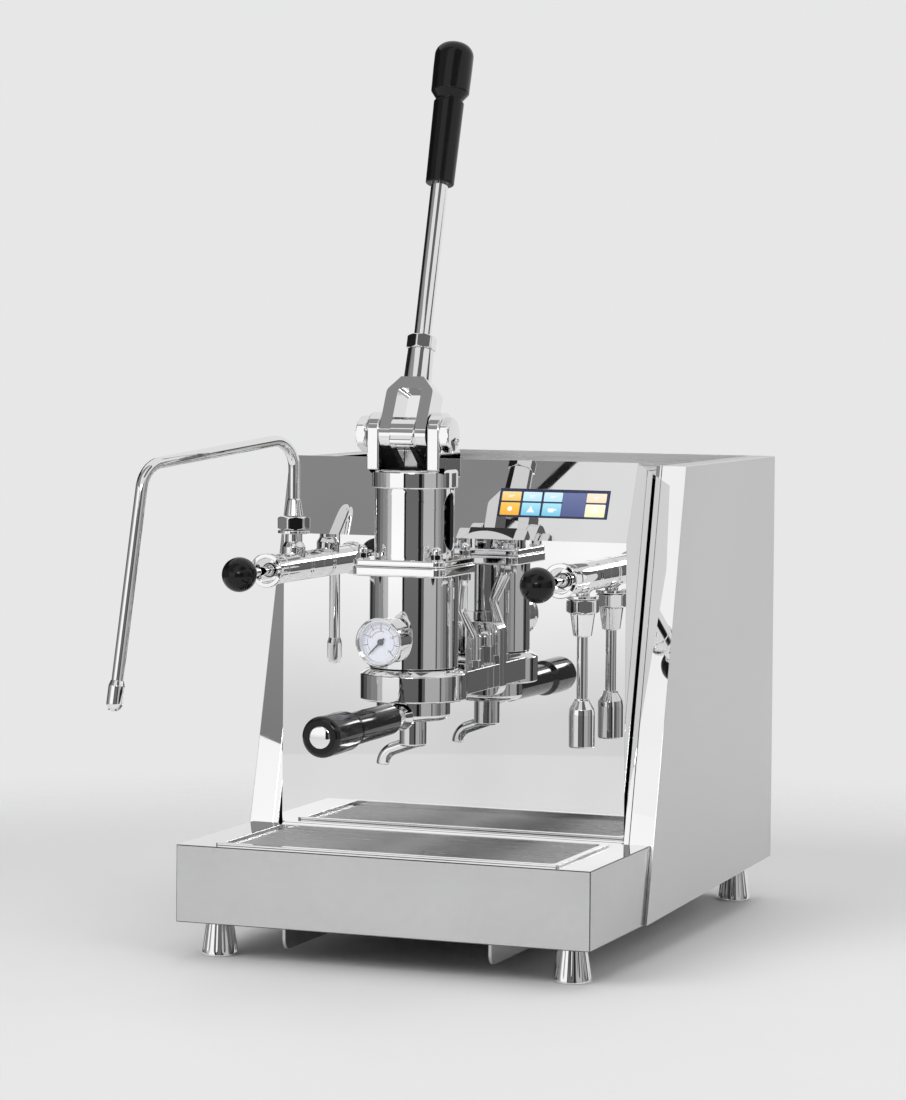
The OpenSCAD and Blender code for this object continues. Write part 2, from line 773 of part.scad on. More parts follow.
module water_tank() color("whitesmoke") place()
    translate([tank_w / 2 - inside_x, inside_rear - tank_d / 2, floor_top]) difference() {
        linear_extrude(tank_h) polygon(rounded(rect(tank_w, tank_d), same(tank_r, 4)));
        translate([0, 0, tank_wall]) linear_extrude(tank_h)
            polygon(rounded(rect(tank_w - 2 * tank_wall, tank_d - 2 * tank_wall),
                same(tank_r - tank_wall, 4)));
    }

// Motor with the slimmer pump at its front end, on a block
module pump() color("darkslategray") place() translate([pump_x, inside_front, floor_top]) {
    pump_d = 2 * motor_d / 3;
    pump_share = pump_len / 3;
    translate([0, 0, motor_d / 2 + motor_up]) {
        bar_y(motor_d / 2, pump_share, pump_len);
        bar_y(pump_d / 2, 0, pump_share + 1);
    }
    translate([-pump_d / 2, pump_share + 10, 0]) cube([pump_d, pump_len - pump_share - 20, motor_d / 4]);
}

module control_box() color("slategray") place()
    translate([control_x - control_w / 2, inside_front, floor_top]) cube([control_w, control_d, control_h]);

// Lever group
module group_neck() color("silver") place() difference() {
    union() {
        translate([-neck_x, group_y + 10, neck_z]) cube([2 * neck_x, group_reach - 10, neck_h]);
        wide = neck_x + neck_over;
        low = neck_z - neck_drop;
        high = neck_top + neck_rise;
        through(fascia_y - neck_foot, fascia_y)
            polygon(rounded([[-wide, low], [wide, low], [wide, high], [-wide, high]], same(10, 4)));
    }
    translate([0, group_y, neck_z - 10]) cylinder(d = bell_d + 2 * gap, h = neck_h + 60);
}

module acorn_nuts() color("silver") {
    place() for (x = [-neck_nut_x, neck_nut_x]) translate([x, neck_nut_y, neck_top])
        acorn_nut(neck_nut_af, 0.55 * neck_nut_h, neck_nut_h);
    on_group() for (x = [-flange_nut, flange_nut], y = [-flange_nut, flange_nut])
        translate([x, y, housing_z]) acorn_nut(flange_nut_af, 0.46 * flange_nut_h, flange_nut_h);
}

module inlet_pipe() color("silver") on_group() tube_run([[34, 39, flange_z], [34, 39, flange_z - 9],
    [26, 53, flange_z - 35], [38, 58, neck_top + 28], [38, 58, neck_top]], pipe_d / 2, 9);

// Locking ring: slope above, bayonet channel with two entry gaps below
module group_bell() color("silver") on_group() difference() {
    rotate_extrude() polygon([[bore_d / 2, bell_z], [bell_d / 2 - 1, bell_z], [bell_d / 2, bell_z + 1],
        [bell_d / 2, bell_z + bell_h], [barrel_d / 2 - 1, barrel_z], [bore_d / 2, barrel_z]]);
    translate([0, 0, bell_z - 1]) cylinder(r = cup_d / 2 + 2, h = lug_roof - bell_z + 1);
    translate([0, 0, lug_floor]) cylinder(r = lug_r + 0.5, h = lug_roof - lug_floor);
    rotate([0, 0, -45]) for (a = [0, 180]) rotate([0, 0, a]) translate([0, -10, bell_z - 1])
        cube([lug_r + 0.5, 20, lug_floor - bell_z + 1]);
}

module group_barrel() color("silver") on_group() difference() {
    union() {
        translate([0, 0, barrel_z]) cylinder(d = barrel_d, h = barrel_h + 1);
        translate([0, 0, flange_z]) linear_extrude(flange_low)
            polygon(rounded(rect(flange_w, flange_w), same(flange_r, 4)));
    }
    translate([0, 0, barrel_z - 1]) cylinder(d = bore_d, h = barrel_h + flange_low + 2);
    translate([0, 0, gauge_z]) bar_y(stem_d / 2 + gap, -barrel_d / 2 - 1, -barrel_d / 2 + 6.5);
}

module spring_housing() color("silver") on_group() difference() {
    union() {
        translate([0, 0, upper_z]) cylinder(d = housing_d, h = housing_h + flange_up);
        translate([0, 0, upper_z]) linear_extrude(flange_up)
            polygon(rounded(rect(flange_w - 1, flange_w - 1), same(flange_r, 4)));
    }
    translate([0, 0, upper_z - 1])
        cylinder(d = housing_d - 2 * housing_wall, h = housing_h + flange_up + 2);
    slot_z = housing_z + housing_h / 2 + 2;
    across(-housing_d, housing_d) translate([0, slot_z])
        polygon(rounded(rect(slot_w, slot_h), same(slot_w / 2 - 0.1, 4), 10));
}

// Cap with two ears, rounded at the top and stepped to a heel at the rear
module housing_cap() color("silver") {
    on_group() difference() {
        translate([0, 0, cap_z]) cylinder(d = cap_d, h = cap_t - ear_plate + 0.01);
        translate([0, 0, cap_z - 1]) cylinder(d = rod_d + 1, h = cap_t + 2);
    }
    place() difference() {
        translate([-ear_out, ear_front, ear_z - ear_plate])
            cube([2 * ear_out, heel_rear - ear_front, ear_plate]);
        translate([0, group_y, ear_z - 10]) cylinder(d = rod_d + 1, h = 20);
    }
    place() difference() {
        ear = [[ear_front, ear_z], [ear_front, ear_top], [ear_rear, ear_top], [ear_rear, heel_z],
            [heel_rear, heel_z], [heel_rear, ear_z]];
        for (x = [-ear_out, ear_in]) across(x, x + ear_t)
            polygon(rounded(ear, [0, ear_d / 2 - 0.1, ear_d / 2 - 0.1, 4, 3, 0], 12));
        translate([0, pin_y, pin_z]) bar_x(pin_d / 2 + run, -ear_out - 1, ear_out + 1);
    }
}

module group_gasket() color("black") on_group() translate([0, 0, lug_roof - gasket_t])
    tube(cup_d / 2 + 1.5, bore_d / 2 - 2, gasket_t);

module shower_screen() color("silver") on_group() translate([0, 0, lug_roof]) difference() {
    cylinder(d = bore_d - 2 * gap, h = screen_t);
    for (k = [1:3], i = [0:6 * k - 1]) rotate([0, 0, 60 * i / k]) translate([8 * k, 0, -1])
        cylinder(d = 2.5, h = screen_t + 2);
}

module piston() color("goldenrod") on_group() difference() {
    translate([0, 0, piston_z]) cylinder(d = bore_d - 2 * piston_play, h = piston_h);
    for (z = [8, 24]) translate([0, 0, piston_z + z]) tube(bore_d, bore_d / 2 - 4, seal_t);
    translate([0, 0, piston_top - 20]) cylinder(d = rod_d + 2 * run, h = 21);
}

module piston_seals() color("black") on_group() for (z = [8, 24])
    translate([0, 0, piston_z + z]) tube(bore_d / 2 - gap, bore_d / 2 - 4, seal_t);

// Rod with a slotted crosshead that the crank pin lifts
module piston_rod() color("silver") place() difference() {
    head_z = pin_z - crank_z;
    union() {
        translate([0, group_y, piston_top - 20])
            cylinder(d = rod_d, h = head_z - head_half - piston_top + 25);
        head = [[head_front, -head_half], [head_rear, -head_half], [head_rear, head_half],
            [head_front, head_half]];
        across(-rod_d / 2, rod_d / 2) translate([0, head_z]) polygon(rounded(head, same(4, 4)));
    }
    slot_y0 = pin_y + crank_y - crank_pin_d / 2 - gap;
    slot_y1 = pin_y + crank_r + crank_pin_d / 2 + gap;
    slot = [[slot_y0, -slot_half], [slot_y1, -slot_half], [slot_y1, slot_half], [slot_y0, slot_half]];
    across(-rod_d, rod_d) translate([0, head_z]) polygon(rounded(slot, same(1, 4)));
}

// One unbroken wire of even pitch, swept through rings square to its path
rings_per_turn = 8;
wire_sides = 6;
coil_rings = coil_turns * rings_per_turn;
coil_rise = spring_high - spring_low - wire_d;
function coil_point(t) = [coil_r * cos(360 * coil_turns * t), coil_r * sin(360 * coil_turns * t),
    spring_low + wire_d / 2 + coil_rise * t];
echo(spring_gap = min([for (i = [0:coil_rings], j = [0:coil_rings]) if (j - i > rings_per_turn / 2)
    norm(coil_point(j / coil_rings) - coil_point(i / coil_rings))]) - wire_d);

module main_spring() color("dimgray") on_group() {
    ring = [for (i = [0:coil_rings]) let (t = i / coil_rings, a = 360 * coil_turns * t, p = coil_point(t),
            out = [cos(a), sin(a), 0], up = unit(cross(unit([-sin(a) * coil_r * 2 * PI * coil_turns,
                cos(a) * coil_r * 2 * PI * coil_turns, coil_rise]), -out)))
        for (k = [0:wire_sides - 1]) let (b = 360 * k / wire_sides)
            p + wire_d / 2 * (cos(b) * out + sin(b) * up)];
    s = wire_sides;
    skin = [for (i = [0:coil_rings - 1], k = [0:s - 1]) let (a = i * s + k, b = i * s + (k + 1) % s)
        each [[a, b, a + s], [b, b + s, a + s]]];
    end = coil_rings * s;
    caps = [for (k = [1:s - 2]) each [[0, k + 1, k], [end, end + k, end + k + 1]]];
    polyhedron(ring, concat(skin, caps));
}

// Pivot bolt through the ears and its nut
module fulcrum_pin() color("silver") at_pin() {
    bar_x(pin_d / 2, -ear_out - head_t + 2, ear_out + 1);
    translate([ear_out, 0, 0]) rotate([0, 90, 0]) hex(29, head_t);
}

module pin_nut() color("silver") at_pin() difference() {
    translate([-ear_out, 0, 0]) rotate([0, -90, 0]) hex(29, head_t);
    bar_x(pin_d / 2 + run, -ear_out - head_t + 1.9, 0);
}

// Fork: side profile from the pivot ends to the socket, cut by the arch seen from the front
module lever_fork() color("silver") on_lever() difference() {
    front = [lever_set - socket_d / 2, fork_h];
    rear = [lever_set + socket_d / 2, fork_h];
    shoulder = fork_h - 13;
    arch = [[-arm_out, -fork_r - 1], [arm_out, -fork_r - 1], [arm_out, shoulder],
        [socket_d / 2 - 3, fork_h + 1], [-socket_d / 2 + 3, fork_h + 1], [-arm_out, shoulder]];
    union() {
        intersection() {
            across(-arm_out, arm_out) union() {
                circle(r = fork_r);
                polygon([touch(fork_r, front, 1), front, rear, touch(fork_r, rear, -1)]);
            }
            through(-100, 100) polygon(rounded(arch, [0, 0, 7, 3, 3, 7]));
        }
        translate([0, lever_set, fork_h - 6])
            cylinder(r1 = socket_d / 2, r2 = socket_d / 2 - 1, h = socket_h + 6);
    }
    through(-100, 100) polygon(rounded([[-arm_in, -fork_r - 2], [arm_in, -fork_r - 2], [arm_in, window_h],
        [-arm_in, window_h]], [0, 0, 4, 4]));
    bar_x(pin_d / 2 + run, -arm_out - 1, arm_out + 1);
    translate([0, lever_set, fork_h + 4]) cylinder(d = lever_d + 2 * run, h = socket_h);
}

// Cam on the fulcrum with two crank cheeks; the sector between them clears the piston's crosshead
module lever_cam() color("silver") at_pin() difference() {
    crank = crank_r * [cos(half_swing), -sin(half_swing)];
    spread = acos((cam_r - eye_r) / crank_r);
    union() {
        bar_x(cam_r, -arm_in, arm_in);
        translate([0, crank[0], crank[1]]) bar_x(eye_r, -arm_in, arm_in);
        way = [for (s = [-1, 1]) let (a = -half_swing + s * spread) [cos(a), sin(a)]];
        across(-arm_in, arm_in) polygon([cam_r * way[0], crank + eye_r * way[0],
            crank + eye_r * way[1], cam_r * way[1]]);
    }
    rotate([90, 0, 90]) rotate([0, 0, -150]) rotate_extrude(angle = 152)
        translate([pin_d / 2 + 2.6, -notch_half]) square([crank_r + eye_r, 2 * notch_half]);
    bar_x(pin_d / 2 + run, -arm_in - 1, arm_in + 1);
    translate([0, crank[0], crank[1]]) bar_x(crank_pin_d / 2 + run, -arm_in - 1, arm_in + 1);
}

module crank_pin() color("silver") at_pin() translate([0, crank_y, -crank_z])
    bar_x(crank_pin_d / 2, -arm_in, arm_in);

module lock_nut() color("silver") on_lever() translate([0, lever_set, fork_h + socket_h]) difference() {
    hex(lock_af, lock_h);
    translate([0, 0, -1]) cylinder(d = lever_d + 2 * run, h = lock_h + 2);
}

module lever_rod() color("silver") on_lever() translate([0, lever_set, fork_h + 4])
    cylinder(d = lever_d, h = lever_reach - fork_h - 4 - grip_len / 2);

// Grip profile from its slim end at zero: flared neck, larger head and domed end
function grip_profile(len, d, head_d, dome) = concat(
    [[0, 0], [d / 2 - 1, 0], [d / 2, 1], [d / 2 + 0.8, 0.56 * len], [head_d / 2 - 1, 0.62 * len],
        [head_d / 2 - 0.6, 0.64 * len]],
    [for (a = [0:15:90]) [head_d / 2 - dome + dome * cos(a), len - dome + dome * sin(a)]], [[0, len]]);

module lever_grip() color("black") on_lever() translate([0, lever_set, lever_reach - grip_len])
    difference() {
        rotate_extrude() polygon(grip_profile(grip_len, grip_d, grip_head_d, 13));
        translate([0, 0, -1]) cylinder(d = lever_d + 2 * run, h = grip_len / 2 + 1);
    }

// Pressure gauge on a stem screwed into the barrel
module on_gauge() place() translate([0, gauge_y, gauge_z]) children();

module gauge_stem() color("silver") on_gauge() difference() {
    r = stem_d / 2;
    end = gauge_reach - barrel_d / 2 + 6;
    about_y() rotate_extrude() polygon([[0, gauge_t], [r + 3, gauge_t], [r + 3, gauge_t + 4],
        [r + 1, gauge_t + 4], [r + 1, gauge_t + 6], [r + 2.5, gauge_t + 6], [r + 2.5, gauge_t + 9],
        [r, gauge_t + 9], [r, end], [0, end]]);
    translate([0, gauge_reach, -stem_d]) difference() {
        cylinder(d = barrel_d + 2 * gap, h = 2 * stem_d);
        translate([0, 0, stem_d]) bar_y(stem_d / 2, -barrel_d, barrel_d);
    }
}

lens_r = gauge_d / 2 - 2;
dial_y = 7;

module gauge_case() color("silver") on_gauge() {
    r = gauge_d / 2;
    about_y() rotate_extrude() polygon([[0, dial_y + 1.5], [lens_r - 1.5, dial_y + 1.5],
        [lens_r - 1.5, 3], [lens_r + gap, 3], [lens_r + gap, 0], [r - 1, 0], [r, 1], [r, 5], [r - 1, 6],
        [r - 1, gauge_t - 3], [r - 4, gauge_t], [0, gauge_t]]);
}

module gauge_dial() color("white") on_gauge() difference() {
    bar_y(lens_r - 1.5 - gap, dial_y, dial_y + 1.5);
    bar_y(1 + run, dial_y - 1, dial_y + 2);
}

// Needle points to the start of the scale, low on the left
module gauge_needle() color("darkslategray") on_gauge() {
    bar_y(1, dial_y - 2, dial_y + 1.2);
    bar_y(3, dial_y - 2, dial_y - 0.5);
    rotate([0, -45, 0]) through(dial_y - 1.8, dial_y - 0.8)
        polygon([[5, -1], [5, 1], [-lens_r + 5, 0.4], [-lens_r + 5, -0.4]]);
}

module gauge_lens() color("azure", 0.4) on_gauge() bar_y(lens_r, 1.5, 3);

// Portafilter
cup_z0 = bell_z - cup_h;
cup_top = rim_z - basket_rim;
handle_z = cup_z0 + 5;

module portafilter_body() color("silver") on_group() difference() {
    joint = -handle_reach + handle_len;
    union() {
        rotate_extrude() {
            translate([0, cup_z0]) square([cup_d / 2 - cup_round, cup_top - cup_z0]);
            translate([0, cup_z0 + cup_round]) square([cup_d / 2, cup_top - cup_z0 - cup_round]);
            translate([cup_d / 2 - cup_round, cup_z0 + cup_round]) circle(r = cup_round);
        }
        intersection() {
            translate([0, 0, lug_floor + gap]) cylinder(r = lug_r, h = cup_top - lug_floor - gap);
            translate([-lug_r - 1, -8, 0]) cube([2 * lug_r + 2, 16, cup_top]);
        }
        translate([0, 0, handle_z]) about_y() rotate_extrude()
            polygon([[0, joint - 25], [6, joint - 25], [6, joint], [9, joint], [9, -cup_d / 2 - 2],
                [4, -cup_d / 2 + 6], [0, -cup_d / 2 + 6]]);
    }
    translate([0, 0, cup_z0 + 4]) cylinder(d = basket_d + 3, h = cup_h + 20);
    translate([0, 0, cup_z0 - 1]) cylinder(r = 5 + run, h = 10);
}

module filter_basket() color("silver") on_group() {
    low = cup_z0 + 6;
    r = basket_d / 2;
    difference() {
        rotate_extrude() polygon([[0, low], [r - 2, low], [r + 1, cup_top], [cup_d / 2 - 0.5, cup_top],
            [cup_d / 2 - 0.5, rim_z], [r, rim_z], [r - 3, low + 1.2], [0, low + 1.2]]);
        for (k = [1:3], i = [0:6 * k - 1]) rotate([0, 0, 60 * i / k]) translate([7 * k, 0, cup_z0])
            cylinder(d = 2, h = 12);
    }
}

module portafilter_handle() color("black") on_group()
    translate([0, -handle_reach + handle_len, handle_z]) difference() {
        rotate([90, 0, 0]) rotate_extrude()
            polygon(grip_profile(handle_len, handle_d, handle_head_d, 9));
        bar_y(6 + run, -26, 1);
        bar_y(cap_disc_d / 2 + gap, -handle_len - 1, -handle_len + 1.2);
    }

module handle_cap() color("silver") on_group() translate([0, -handle_reach, handle_z])
    about_y() rotate_extrude() polygon([[0, -1], [cap_disc_d / 2 - 1.5, -0.6], [cap_disc_d / 2, 0],
        [cap_disc_d / 2, 1.2], [0, 1.2]]);

// Spout: a round body with a bore, and a round beak that slopes off to the left and bends down
module spout() color("silver") on_group() {
    foot_z = cup_z0 - spout_h;
    difference() {
        union() {
            translate([0, 0, foot_z]) cylinder(d = spout_d, h = spout_h);
            translate([0, 0, cup_z0 - 1]) cylinder(r = 5, h = 5);
            intersection() {
                beak(beak_d / 2, spout_d / 2 + 2, beak_tip);
                translate([0, 0, foot_z - 40]) linear_extrude(70) {
                    circle(d = spout_d);
                    translate([-2 * beak_reach, -spout_d / 2]) square([2 * beak_reach, spout_d]);
                }
            }
        }
        beak(beak_d / 2 - beak_wall, 3, beak_tip + 2);
        translate([0, 0, foot_z + 1]) cylinder(r = 3, h = spout_h + 6);
    }
}

// Beak from a point past the spout's axis, down its slope and round its bend to the tip
module beak(r, past, tip) {
    corner = [-beak_reach, 0, cup_z0 - spout_h - beak_drop];
    rise = [cos(beak_slope), 0, sin(beak_slope)];
    fall = [-cos(86), 0, -sin(86)];
    start = corner + (beak_reach + past) / cos(beak_slope) * rise;
    tube_run([start, corner, corner + tip * fall], r, beak_r);
}

// Taps: valve body with ring grooves, front collar, recess for the joystick and a vertical outlet
module valve(side, up) place() translate([side * tap_x, 0, tap_z]) {
    r = tap_d / 2;
    neck = up > 0 ? steam_neck : water_neck;
    bore_r = (up > 0 ? steam_d : water_d) / 2;
    difference() {
        union() {
            grooves = [for (y = [22, 75, 80])
                each [[r, y], [r - 1, y + 0.5], [r - 1, y + 2], [r, y + 2.5]]];
            translate([0, tap_front, 0]) about_y() rotate_extrude() polygon(concat(
                [[0, 0], [r + 1.5, 0], [r + 2, 1], [r + 2, 5], [r, 7]], grooves,
                [[r, tap_len], [tail_d / 2, tap_len], [tail_d / 2, tap_len + 20], [0, tap_len + 20]]));
            translate([0, outlet, 0]) mirror([0, 0, up > 0 ? 0 : 1]) {
                cylinder(r = 11, h = min(neck - 2, r + 10));
                cylinder(r = 8, h = neck);
            }
        }
        bar_y(11.5, tap_front - 1, joy_y + joint_r + gap);
        translate([0, outlet, 0]) mirror([0, 0, up > 0 ? 0 : 1]) translate([0, 0, neck - 10])
            cylinder(r = bore_r + run, h = 11);
    }
}

module steam_tap() color("silver") valve(-1, 1);

module water_tap() color("silver") valve(1, -1);

// Washer and hexagon nut, running outwards from the outlet's end
module gland(tube_r) {
    difference() {
        union() {
            cylinder(d = gland_af + 3, h = washer_t);
            translate([0, 0, washer_t]) hex(gland_af, gland_h);
        }
        translate([0, 0, -1]) cylinder(r = tube_r + run, h = washer_t + gland_h + 2);
    }
}

module steam_gland() color("silver") place() translate([-tap_x, outlet, tap_z + steam_neck])
    gland(steam_d / 2);

module water_gland() color("silver") place() translate([tap_x, outlet, tap_z - water_neck])
    mirror([0, 0, 1]) gland(water_d / 2);

module joystick(side) place() translate([side * tap_x, joy_y, tap_z]) {
    reach = ball_reach - fascia_y + joy_y;
    sphere(r = joint_r);
    r = joy_d / 2;
    collar = ball_d / 2 - reach;
    about_y() rotate_extrude() polygon([[0, -reach - 2], [r - 1, -reach - 2], [r - 1, collar + 1],
        [r + 1.5, collar + 1], [r + 1.5, collar + 4], [r, collar + 7], [r - 1, -joint_r + 2],
        [0, -joint_r + 2]]);
}

module joy_ball(side) place() translate([side * tap_x, fascia_y - ball_reach, tap_z]) {
    bore = joy_d / 2 - 1 + run;
    r = ball_d / 2;
    last = acos(bore / r);
    arc = [for (k = [1:24]) let (a = -90 + (90 + last) * k / 24) r * [cos(a), sin(a)]];
    about_y() rotate_extrude() polygon(concat([[0, -r]], arc, [[bore, -2.2], [0, -2.2]]));
}

module steam_stem() color("silver") joystick(-1);

module water_stem() color("silver") joystick(1);

module steam_ball() color("black") joy_ball(-1);

module water_ball() color("black") joy_ball(1);

// Steam wand: swivel spigot and cone, riser, arm to the elbow, leg with the tip
swivel = [-tap_x, outlet, tap_z + steam_neck + washer_t + gland_h];
corner = [-tap_x, outlet, wand_top];
elbow = corner - [elbow_out, elbow_front, elbow_drop];
leg = unit([elbow[0] - leg_out, elbow[1] - leg_front, wand_end] - elbow);
leg_end = elbow + leg * (norm([elbow[0] - leg_out, elbow[1] - leg_front, wand_end] - elbow) - tip_len);

module steam_wand() color("silver") place() {
    translate(swivel - [0, 0, gland_h + washer_t + 9]) cylinder(d = steam_d, h = gland_h + washer_t + 10);
    translate(swivel + [0, 0, gap]) cylinder(d1 = steam_d + 6.5, d2 = steam_d + 1.5, h = 16);
    tube_run([swivel, corner, elbow, leg_end], steam_d / 2, wand_bend);
}

module steam_tip() color("silver") place() {
    side = unit(cross(leg, [0, 1, 0]));
    frame(leg_end, side, cross(leg, side)) nozzle_tip(steam_d / 2 + 2, tip_len);
}

// Bulb with a drawn-in neck and a rounded end
module nozzle_tip(r, len) rotate_extrude() polygon(concat([[0, 0], [r - 1.6, 0], [r, 5]],
    [for (a = [0:15:75]) [r * cos(a), len - r + r * sin(a)]], [[2, len], [0, len]]));

module water_wand() color("silver") place() {
    face = tap_z - water_neck - washer_t - gland_h;
    translate([tap_x, outlet, 0]) {
        translate([0, 0, face - 1]) cylinder(d = water_d, h = gland_h + washer_t + 10);
        translate([0, 0, face - 21]) cylinder(d1 = water_d + 7, d2 = water_d + 13, h = 21 - gap);
        translate([0, 0, water_end + water_tip_h])
            cylinder(d = water_d, h = face - water_end - water_tip_h - 1);
    }
}

module water_tip() color("silver") place() translate([tap_x, outlet, water_end]) {
    r = water_tip_d / 2;
    h = water_tip_h;
    rotate_extrude() polygon([[0, 4], [r - 3, 4], [r - 3, 0], [r - 1, 0], [r, 1], [r, 0.7 * h],
        [r - 0.5, 0.79 * h], [water_d / 2 + 1.5, h], [0, h]]);
}

base_chassis();
chassis_rails();
feet();
left_side_panel();
right_side_panel();
fascia();
rear_cover();
cup_tray();
tray_box();
drip_basin();
drip_grate();
display();
steam_boiler();
brew_boiler();
water_tank();
pump();
control_box();
group_neck();
acorn_nuts();
inlet_pipe();
group_bell();
group_barrel();
spring_housing();
housing_cap();
group_gasket();
shower_screen();
piston();
piston_seals();
piston_rod();
main_spring();
fulcrum_pin();
pin_nut();
lever_fork();
lever_cam();
crank_pin();
lock_nut();
lever_rod();
lever_grip();
gauge_stem();
gauge_case();
gauge_dial();
gauge_needle();
gauge_lens();
portafilter_body();
filter_basket();
portafilter_handle();
handle_cap();
spout();
steam_tap();
water_tap();
steam_gland();
water_gland();
steam_stem();
water_stem();
steam_ball();
water_ball();
steam_wand();
steam_tip();
water_wand();
water_tip();
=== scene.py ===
import math
import bmesh
import bpy
import numpy as np
from mathutils import Matrix, Vector


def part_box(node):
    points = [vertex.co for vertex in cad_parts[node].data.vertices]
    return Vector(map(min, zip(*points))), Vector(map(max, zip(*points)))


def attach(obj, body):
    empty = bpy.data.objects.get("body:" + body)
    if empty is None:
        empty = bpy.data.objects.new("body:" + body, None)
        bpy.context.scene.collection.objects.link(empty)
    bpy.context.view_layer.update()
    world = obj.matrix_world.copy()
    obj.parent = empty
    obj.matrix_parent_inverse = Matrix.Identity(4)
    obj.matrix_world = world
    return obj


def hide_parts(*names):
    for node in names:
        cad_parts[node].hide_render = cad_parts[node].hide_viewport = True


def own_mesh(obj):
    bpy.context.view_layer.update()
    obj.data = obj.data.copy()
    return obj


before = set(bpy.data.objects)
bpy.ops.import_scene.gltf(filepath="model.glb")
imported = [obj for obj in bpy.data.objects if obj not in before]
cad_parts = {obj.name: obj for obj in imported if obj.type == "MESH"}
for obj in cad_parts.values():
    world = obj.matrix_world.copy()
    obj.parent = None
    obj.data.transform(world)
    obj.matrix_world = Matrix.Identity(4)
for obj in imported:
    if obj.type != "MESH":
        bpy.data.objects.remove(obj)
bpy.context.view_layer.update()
print("frame:", len(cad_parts), "nodes")

trayLow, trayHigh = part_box("tray_box")
origin = np.array([(trayLow.x + trayHigh.x) / 2, trayLow.y, 0])  # middle of the machine, tray front, counter
scene = bpy.context.scene
scene.view_settings.view_transform = "Standard"


def toFrame(points):  # millimetres from the middle, the tray's front and the counter -> metres in the CAD's frame
    return np.asarray(points, float) / 1000 + origin


# camera: the photograph's height, heading and distance
photoView = {"place": (1204.1, -2950.9, 582.0), "heading": 21.063, "pitch": -1.7135, "roll": 0.4815,
             "lens": 117.145, "sensor": 36.0, "shift": -0.1087}


def addCamera():
    data = bpy.data.cameras.new("photoCamera")
    data.lens, data.sensor_width, data.shift_y = photoView["lens"], photoView["sensor"], photoView["shift"]
    camera = bpy.data.objects.new("photoCamera", data)
    turn = (Matrix.Rotation(math.radians(photoView["heading"]), 4, "Z")
            @ Matrix.Rotation(math.radians(90 + photoView["pitch"]), 4, "X")
            @ Matrix.Rotation(math.radians(photoView["roll"]), 4, "Z"))
    camera.matrix_world = Matrix.Translation(Vector(toFrame(photoView["place"]))) @ turn
    scene.collection.objects.link(camera)
    scene.camera = camera


# vectors, outlines and surfaces, all as whole arrays in millimetres
def unit(v):
    v = np.asarray(v, float)
    return v / np.maximum(np.linalg.norm(v, axis=-1, keepdims=True), 1e-12)


def roundCorners(points, radii, steps=4, closed=False):
    # a corner becomes an arc that touches both its sides; a guard point beyond each end keeps the sides flat
    p = np.asarray(points, float)
    r = np.array(np.broadcast_to(radii, len(p)), float)
    if not closed:
        r[[0, -1]] = 0
    toA, toB = np.roll(p, 1, 0) - p, np.roll(p, -1, 0) - p
    room = 0.45 * np.minimum(np.linalg.norm(toA, axis=1), np.linalg.norm(toB, axis=1))
    a, b = unit(toA), unit(toB)
    half = np.arccos(np.clip((a * b).sum(1), -1, 1)) / 2
    bend = np.pi - 2 * half
    cut = np.where(bend > 1e-3, np.minimum(r / np.maximum(np.tan(half), 1e-9), room), 0)[:, None]
    centre = p + unit(a + b) * cut / np.maximum(np.cos(half), 1e-9)[:, None]
    start, end = p + a * cut - centre, p + b * cut - centre
    t = np.linspace(0, 1, steps + 1)[None, :, None]
    angle = np.maximum(bend, 1e-9)[:, None, None]
    swing = np.sin((1 - t) * angle) * start[:, None] + np.sin(t * angle) * end[:, None]
    arc = centre[:, None] + swing / np.sin(angle)
    guard = np.minimum(0.3 * cut, 0.04 * room[:, None])
    arc = np.concatenate([(p + a * (cut + guard))[:, None], arc, (p + b * (cut + guard))[:, None]], 1)
    return arc.reshape(-1, p.shape[1])


def arcPoints(centre, radius, fromDeg, toDeg, count):
    t = np.radians(np.linspace(fromDeg, toDeg, count))
    return np.asarray(centre, float) + radius * np.stack([np.cos(t), np.sin(t)], 1)


def gridSurface(points, closeU=False, closeV=False):
    # quads between neighbouring points of a grid; a closed way joins its last row to its first
    nu, nv = points.shape[:2]
    i = np.arange(nu if closeU else nu - 1)[:, None]
    j = np.arange(nv if closeV else nv - 1)[None, :]
    corners = [(i % nu) * nv + j % nv, (i + 1) % nu * nv + j % nv,
               (i + 1) % nu * nv + (j + 1) % nv, (i % nu) * nv + (j + 1) % nv]
    return points.reshape(-1, 3), np.stack(np.broadcast_arrays(*corners), -1).reshape(-1, 4).tolist()


def lathe(profile, turns=96, closed=False, flute=None):
    # a profile of (radius, height) goes round the Z axis: (radius cos, radius sin, height); flute adds to the radius
    profile = np.asarray(profile, float)
    angle = np.linspace(0, 2 * np.pi, turns, endpoint=False)
    radius, height = np.broadcast_arrays(profile[:, :1], profile[:, 1:])
    radius = np.repeat(radius, turns, 1)
    height = np.repeat(height, turns, 1)
    if flute is not None:
        radius = flute(radius, angle[None, :], height)
    points = np.stack([radius * np.cos(angle), radius * np.sin(angle), height], -1)
    return gridSurface(points, closeU=closed, closeV=True)


def carry(surface, at=(0, 0, 0), axis=(0, 0, 1), ref=(1, 0, 0)):
    # turns a surface so that its Z runs along axis and its X leans towards ref, then moves it
    points, faces = surface
    w = unit(axis)
    v = unit(np.cross(w, ref))
    return points @ np.stack([np.cross(v, w), v, w]) + np.asarray(at, float), faces


